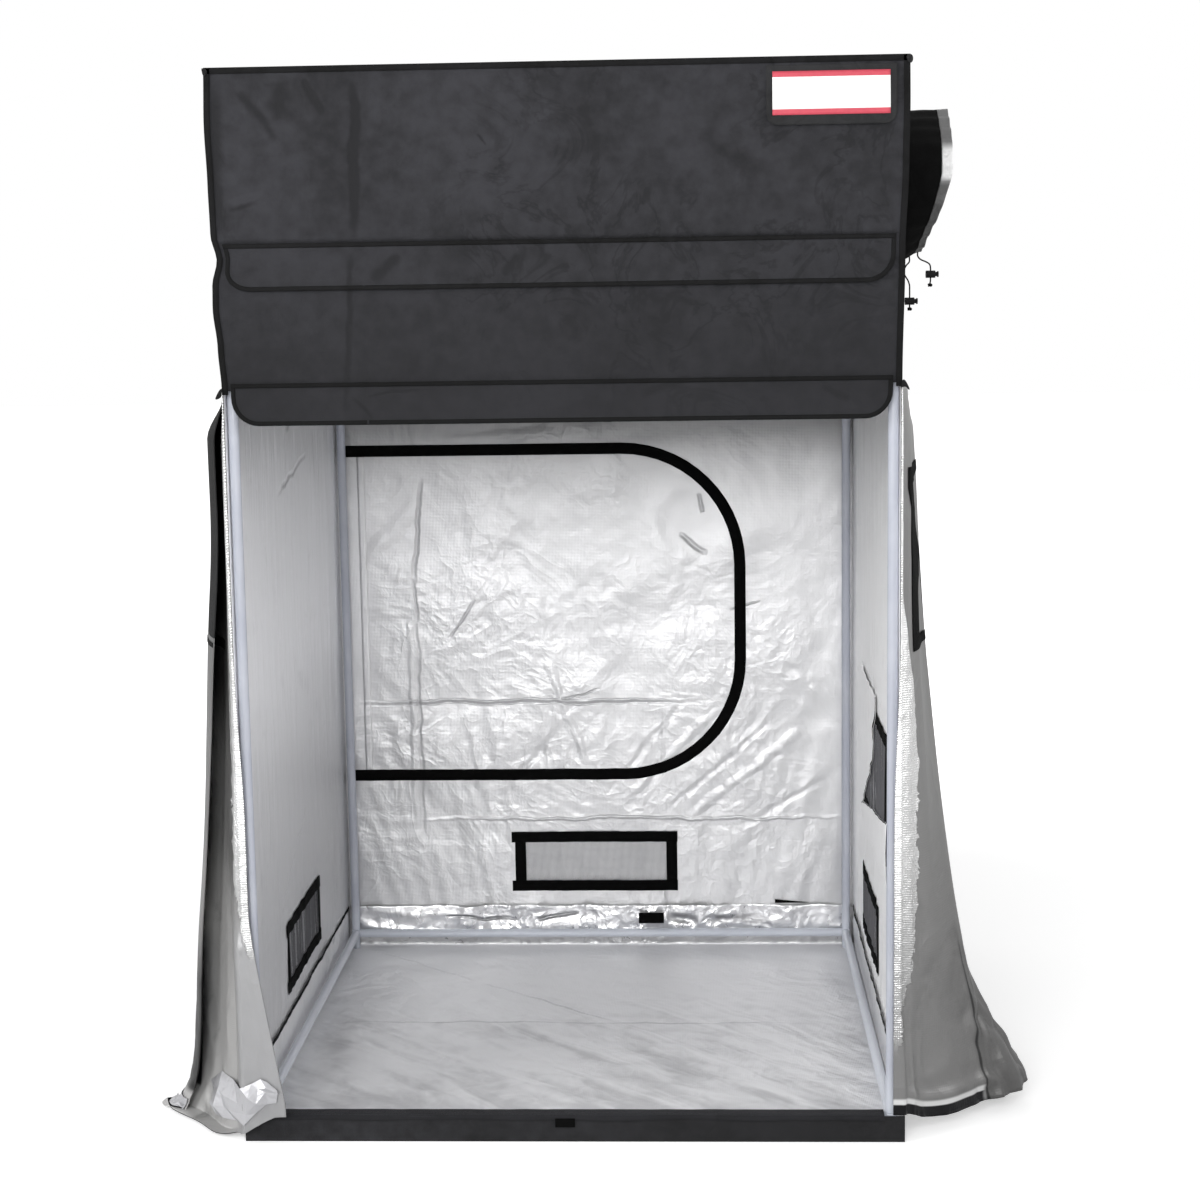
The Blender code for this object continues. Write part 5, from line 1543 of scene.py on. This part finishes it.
plastic = new_finish("moulded_black_plastic")
spot = plastic.where()
grain = plastic.cells(spot, 2600.0)
flow = plastic.noise(spot, 60.0, 4.0)
LOCK_BLACK = plastic.shape(
    plastic.mix(flow.band(0.3, 0.7), (0.003, 0.003, 0.003), (0.009, 0.009, 0.010)),
    flow * 0.2 + 0.45, grain + flow * 0.5, 0.00015, Specular_IOR_Level=0.25)
for name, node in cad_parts.items():
    if "cord_lock" in name:
        coat(node, LOCK_BLACK)


# Name patch: a doubled flap of canvas sewn under the roof seam, with a plain printed label on it.

PATCH_LEFT, PATCH_RIGHT = 0.370, 0.598
PATCH_BOTTOM, PATCH_TOP = 1.863, 1.966
PATCH_CORNER = 0.020
LABEL = (0.381, 0.586, 1.880, 1.955)
LABEL_BAND = 0.010


def patch_point(s, t):
    x = lerp(PATCH_LEFT, PATCH_RIGHT, s)
    into = max(PATCH_CORNER - min(x - PATCH_LEFT, PATCH_RIGHT - x), 0.0)
    low = PATCH_BOTTOM + PATCH_CORNER - math.sqrt(max(PATCH_CORNER**2 - into**2, 0.0))
    z = lerp(low, PATCH_TOP, t)
    lift = 0.0022 * ease((PATCH_TOP - z) / 0.06) * ease((x - PATCH_LEFT) / 0.02)
    return header_point(x, z, CANVAS + TAPE + lift)


def label_point(s, t):
    left, right_edge, low, high = LABEL
    point = patch_point((lerp(left, right_edge, s) - PATCH_LEFT) / (PATCH_RIGHT - PATCH_LEFT), 1.0)
    z = lerp(low, high, t)
    lift = 0.0022 * ease((PATCH_TOP - z) / 0.06)
    return header_point(point.x, z, CANVAS + TAPE + lift + 0.0011)


print_ink = new_finish("printed_label")
uv = print_ink.where("UV")
rise = uv.axis("Y")
label_size = (LABEL[1] - LABEL[0], LABEL[3] - LABEL[2])
edge_band = 1.0 - 2 * LABEL_BAND / label_size[1]
reach = abs(rise * (1 / label_size[1]) * 2.0 - 1.0)
wear_and_crease_shade = print_ink.noise(print_ink.where(), 120.0, 4.0)
banded = (reach + wear_and_crease_shade * 0.01).band(edge_band, edge_band + 0.01)
red = print_ink.mix(wear_and_crease_shade, (0.50, 0.045, 0.075), (0.62, 0.075, 0.11))
PRINTED = print_ink.shape(print_ink.mix(banded, (0.93, 0.93, 0.93), red), wear_and_crease_shade * 0.1 + 0.5, wear_and_crease_shade, 0.0002)
PATCH_BLACK = canvas_finish("patch_canvas", (0.010, 0.010, 0.011), (0.022, 0.022, 0.024))
patch = cloth("name_patch", 60, 24, (PATCH_RIGHT - PATCH_LEFT, PATCH_TOP - PATCH_BOTTOM), patch_point,
              PATCH_BLACK, thickness=0.0010)
settle(patch, "tent")
label = cloth("name_patch_label", 40, 16, label_size, label_point, PRINTED, thickness=0.0003)
settle(label, "tent")


# Floor cloth: black canvas under the whole tent, turned up in front as a low sill with a patch of
# touch fastener for the door.

SILL_TOP = 0.050
FASTENER = (-0.033, 0.004, 0.029, 0.046)


def base_point(x, run):
    """Along the floor cloth from the back edge to the front, and up the sill."""
    depth = 2 * HALF_DEPTH
    if run <= depth:
        return Vector((x, HALF_DEPTH - run, 0.0))
    rise = run - depth
    bow = 0.0012 * noise.noise(Vector((x * 6.0, rise * 20.0, 7.0))) * ease(rise / 0.02)
    return Vector((x, -HALF_DEPTH - bow, min(rise, SILL_TOP)))


# Painted shade: the sill darkens towards its right end.
SILL_BLACK = canvas_finish("sill_canvas", (0.005, 0.005, 0.006), (0.034, 0.034, 0.039), across_shade=0.75)
BASE_ROWS, SILL_ROWS = 60, 16
runs = [2 * HALF_DEPTH * i / BASE_ROWS for i in range(BASE_ROWS)]
runs += [2 * HALF_DEPTH + SILL_TOP * i / SILL_ROWS for i in range(SILL_ROWS + 1)]
base_cut = (2 * HALF_WIDTH, 2 * HALF_DEPTH + SILL_TOP)
base = cloth("floor_cloth", 110, BASE_ROWS + SILL_ROWS, base_cut,
             lambda s, t: base_point(lerp(-1, 1, s) * HALF_WIDTH, runs[round(t * (BASE_ROWS + SILL_ROWS))]),
             SILL_BLACK, LINING_FLOOR)
settle(base, "tent", ("base_panel",))

fastener = cloth(
    "sill_fastener", 16, 8, (FASTENER[1] - FASTENER[0], FASTENER[3] - FASTENER[2]),
    lambda s, t: base_point(lerp(*FASTENER[:2], s), 2 * HALF_DEPTH + lerp(*FASTENER[2:], t))
    - Vector((0, CANVAS + TAPE, 0)), DEAD_BLACK, thickness=TAPE)
settle(fastener, "tent")


# Floor tray: a loose silver sheet with upturned edges that lies on the floor cloth under the
# rails, laps over the sill in front and can be lifted out. Its upstands are badly crumpled.

TRAY_HALF = 0.6165
TRAY_TOP = 0.105
TRAY_BACK = 0.6158
LAP_HALF = 0.5822
TRAY_FLOOR = 0.0031
LAP_PROFILE = ((-0.6214, 0.0455), (-0.6211, 0.0490), (-0.6192, 0.0520), (-0.6120, 0.0518),
               (-0.6040, 0.0516), (-0.5962, 0.0516), (-0.5885, 0.0510), (-0.5858, 0.0470),
               (-0.5853, 0.0360), (-0.5851, 0.0240), (-0.5849, 0.0120), (-0.5835, 0.0052),
               (-0.5790, 0.0036))
LINING_TRAY = silver_finish(
    "crumpled_silver", (0.62, 0.62, 0.63), (0.93, 0.93, 0.94), 0.7, 0.20, 9.0, 0.006, 0.0,
    # Painted shadow: the back upstand darkens at its foot, under the rail.
    shade_by_height=((0.0, 0.40), (0.020, 0.48), (0.030, 0.92), (0.2, 1.0)),
    # Painted shade: dark crease lines on the back upstand.
    crease_shading=(((0.16, 0.075), (0.24, 0.065), 0.018, 0.7), ((0.25, 0.07), (0.42, 0.065), 0.016, 0.6),
             ((-0.38, 0.08), (-0.20, 0.07), 0.006, 0.6), ((-0.16, 0.07), (-0.05, 0.085), 0.006, 0.6)))
FILM = silver_finish("tray_film", (0.55, 0.55, 0.56), (0.80, 0.80, 0.81), 0.4, 0.34, 7.0, 0.004, 0.1)


def tray_crumple(run, z, seed):
    """How far a crumpled upstand leans in from the wall."""
    up = ease((z - 0.004) / 0.035)
    broad = crest(run * 6.0 + z * 8.0, z * 14.0 - run * 2.0, seed)
    fine = crest(run * 21.0 - z * 12.0, z * 30.0, seed + 3.0)
    return up * (0.0075 * broad + 0.0035 * fine)


def tray_floor_height(x, y):
    edge = min(TRAY_HALF - abs(x), TRAY_BACK - y, y + 0.585)
    free = ease((edge - 0.045) / 0.08)
    soft = 0.0040 * crest(x * 2.2 + y * 1.3, y * 4.2 - x * 1.1, 4.0, 1.2)
    near = ease((0.25 - y) / 0.5)
    fine = (0.0012 + 0.0028 * near) * crest(x * 3.6 + y * 2.0, y * 13.0 + x * 3.0, 6.0, 1.2)
    cross = 0.0016 * math.exp(-((y - 0.05 - 0.03 * x) / 0.012) ** 2)
    return TRAY_FLOOR + free * (soft + fine + cross)


FLOOR_ROWS = 111
rows = list(LAP_PROFILE)
rows += [(lerp(-0.5690, 0.6060, i / FLOOR_ROWS), None) for i in range(FLOOR_ROWS + 1)]
rows += [(0.6120, 0.0042), (TRAY_BACK - 0.0010, 0.0075)]
rows += [(TRAY_BACK, lerp(0.014, TRAY_TOP, i / 20)) for i in range(21)]


def tray_point(x_share, row):
    y, z = rows[row]
    if row < len(LAP_PROFILE):
        x = x_share * LAP_HALF
        if row < 3:
            z -= (3 - row) * 0.0011 * (1.0 + 1.6 * noise.noise(Vector((x * 7.0, 2.0, 3.0))))
        elif row < 8:
            z += 0.0006 * noise.noise(Vector((x * 30.0, y * 30.0, 3.0)))
        return Vector((x, y, z))
    x = x_share * TRAY_HALF
    if z is None:
        return Vector((x, y, tray_floor_height(x, y)))
    high = z + ease(z / TRAY_TOP) * 0.006 * noise.noise(Vector((x * 14.0, 0.0, 8.0)))
    return Vector((x, y - tray_crumple(x, z, 5.0) * ease((TRAY_HALF - abs(x)) / 0.03), high))


TRAY_CUT = (2 * TRAY_HALF, 1.36)
tray = cloth(
    "tray_cloth", 118, len(rows) - 1, TRAY_CUT,
    lambda s, t: tray_point(lerp(-1, 1, s), round(t * (len(rows) - 1))), LINING_FLOOR, CANVAS_BLACK,
    LINER, offset=-0.6)
tray.data.materials.append(LINING_TRAY)
for face in tray.data.polygons:
    _, y, z = face.center
    if face.material_index == 0:
        if z > 0.006 and y > 0.606:
            face.material_index = 2
        elif y < -0.592 and z > 0.040:
            # Painted shade: over the front rail the lap's edge takes the black canvas, so its fold shows
            # dark.
            face.material_index = 1
settle(tray, "tent", ("floor_tray",))

for side, word in ((-1, "left"), (1, "right")):
    def upstand_point(s, t):
        y = lerp(-0.600, TRAY_BACK - 0.002, s if side < 0 else 1 - s)
        z = lerp(0.0045, TRAY_TOP - 0.002, t)
        ends = ease((TRAY_BACK - y) / 0.03) * ease((y + 0.60) / 0.05)
        lean = 0.0007 + 0.4 * tray_crumple(y, z, 9.0 * side) * ends
        return Vector((side * (TRAY_HALF + 0.0008 - lean * 0.9), y, z))
    upstand = cloth(f"tray_{word}_upstand", 130, 12, (1.21, 0.10), upstand_point, FILM, FILM,
                    0.0006, offset=0.0)
    settle(upstand, "tent")
    trim(f"tray_{word}_edge", 4, 130, (0.008, 1.21),
         lambda s, t: upstand_point(t, 1.0) + Vector((-side * 0.0012, 0, 0.002 - 0.008 * s)), TRIM_BLACK)


# Tray tab: a black loop of webbing sewn to the back upstand, to lift the tray out by, and the
# wedge of black canvas that shows above the film near the right corner.

TAB_SPAN = (0.095, 0.156)
TAB_HEIGHTS = (0.062, 0.088)


def tray_tab_point(s, t):
    x, z = lerp(*TAB_SPAN, s), lerp(*TAB_HEIGHTS, t)
    return Vector((x, TRAY_BACK - 0.0145 - 0.003 * math.sin(math.pi * s) * math.sin(math.pi * t), z))


def wedge_point(s, t):
    x = lerp(0.426, 0.508, s)
    z = 0.109 + 0.009 * (1.0 - s) * t
    return Vector((x, TRAY_BACK - 0.002 - 0.003 * (1.0 - s), z))


trim("tray_tab", 16, 6, (0.054, 0.023), tray_tab_point, DEAD_BLACK, thickness=0.0012)
trim("tray_wedge", 16, 6, (0.075, 0.007), wedge_point, DEAD_BLACK, thickness=0.0012)


# Seam bindings: black tape folded over the sewn corners of the skin, up the four corners and
# round the roof. In front it starts above the doors, where the header does.

BINDING = 0.011


def corner_binding(name, place, first_way, second_way, count, length):
    """A tape folded over a corner line place(t), as wide along each of the two faces."""
    section = ((BINDING, 0.0), (BINDING * 0.5, 0.0), (0.0012, 0.0), (0.0, 0.0), (0.0, 0.0012),
               (0.0, BINDING * 0.5), (0.0, BINDING))
    corner = (first_way + second_way) * -0.0007

    def spot(s, t):
        into, over = section[round(s * (len(section) - 1))]
        return place(t) + corner + first_way * into + second_way * over

    trim(name, len(section) - 1, count, (2 * BINDING, length), spot, TRIM_BLACK)


def front_corner(side, z):
    return Vector((side * (HALF_WIDTH - drawn_in(side, z)), -HALF_DEPTH, z))


DOWN = Vector((0, 0, -1))
for side, word in ((-1, "left"), (1, "right")):
    inward = Vector((-side, 0, 0))
    corner_binding(f"front_{word}_corner_binding", lambda t: front_corner(side, lerp(DOOR_TOP, HEIGHT, t)),
                   inward, Vector((0, 1, 0)), 50, HEIGHT - DOOR_TOP)
    corner_binding(f"back_{word}_corner_binding",
                   lambda t: Vector((side * HALF_WIDTH, HALF_DEPTH, t * HEIGHT)),
                   inward, Vector((0, -1, 0)), 150, HEIGHT)
    corner_binding(f"roof_{word}_binding",
                   lambda t: Vector((side * HALF_WIDTH, lerp(-1, 1, t) * HALF_DEPTH, HEIGHT)),
                   inward, DOWN, 100, 2 * HALF_DEPTH)
for side, word in ((-1, "front"), (1, "back")):
    corner_binding(f"roof_{word}_binding",
                   lambda t: Vector((lerp(-1, 1, t) * HALF_WIDTH, side * HALF_DEPTH, HEIGHT)),
                   Vector((0, -side, 0)), DOWN, 100, 2 * HALF_WIDTH)
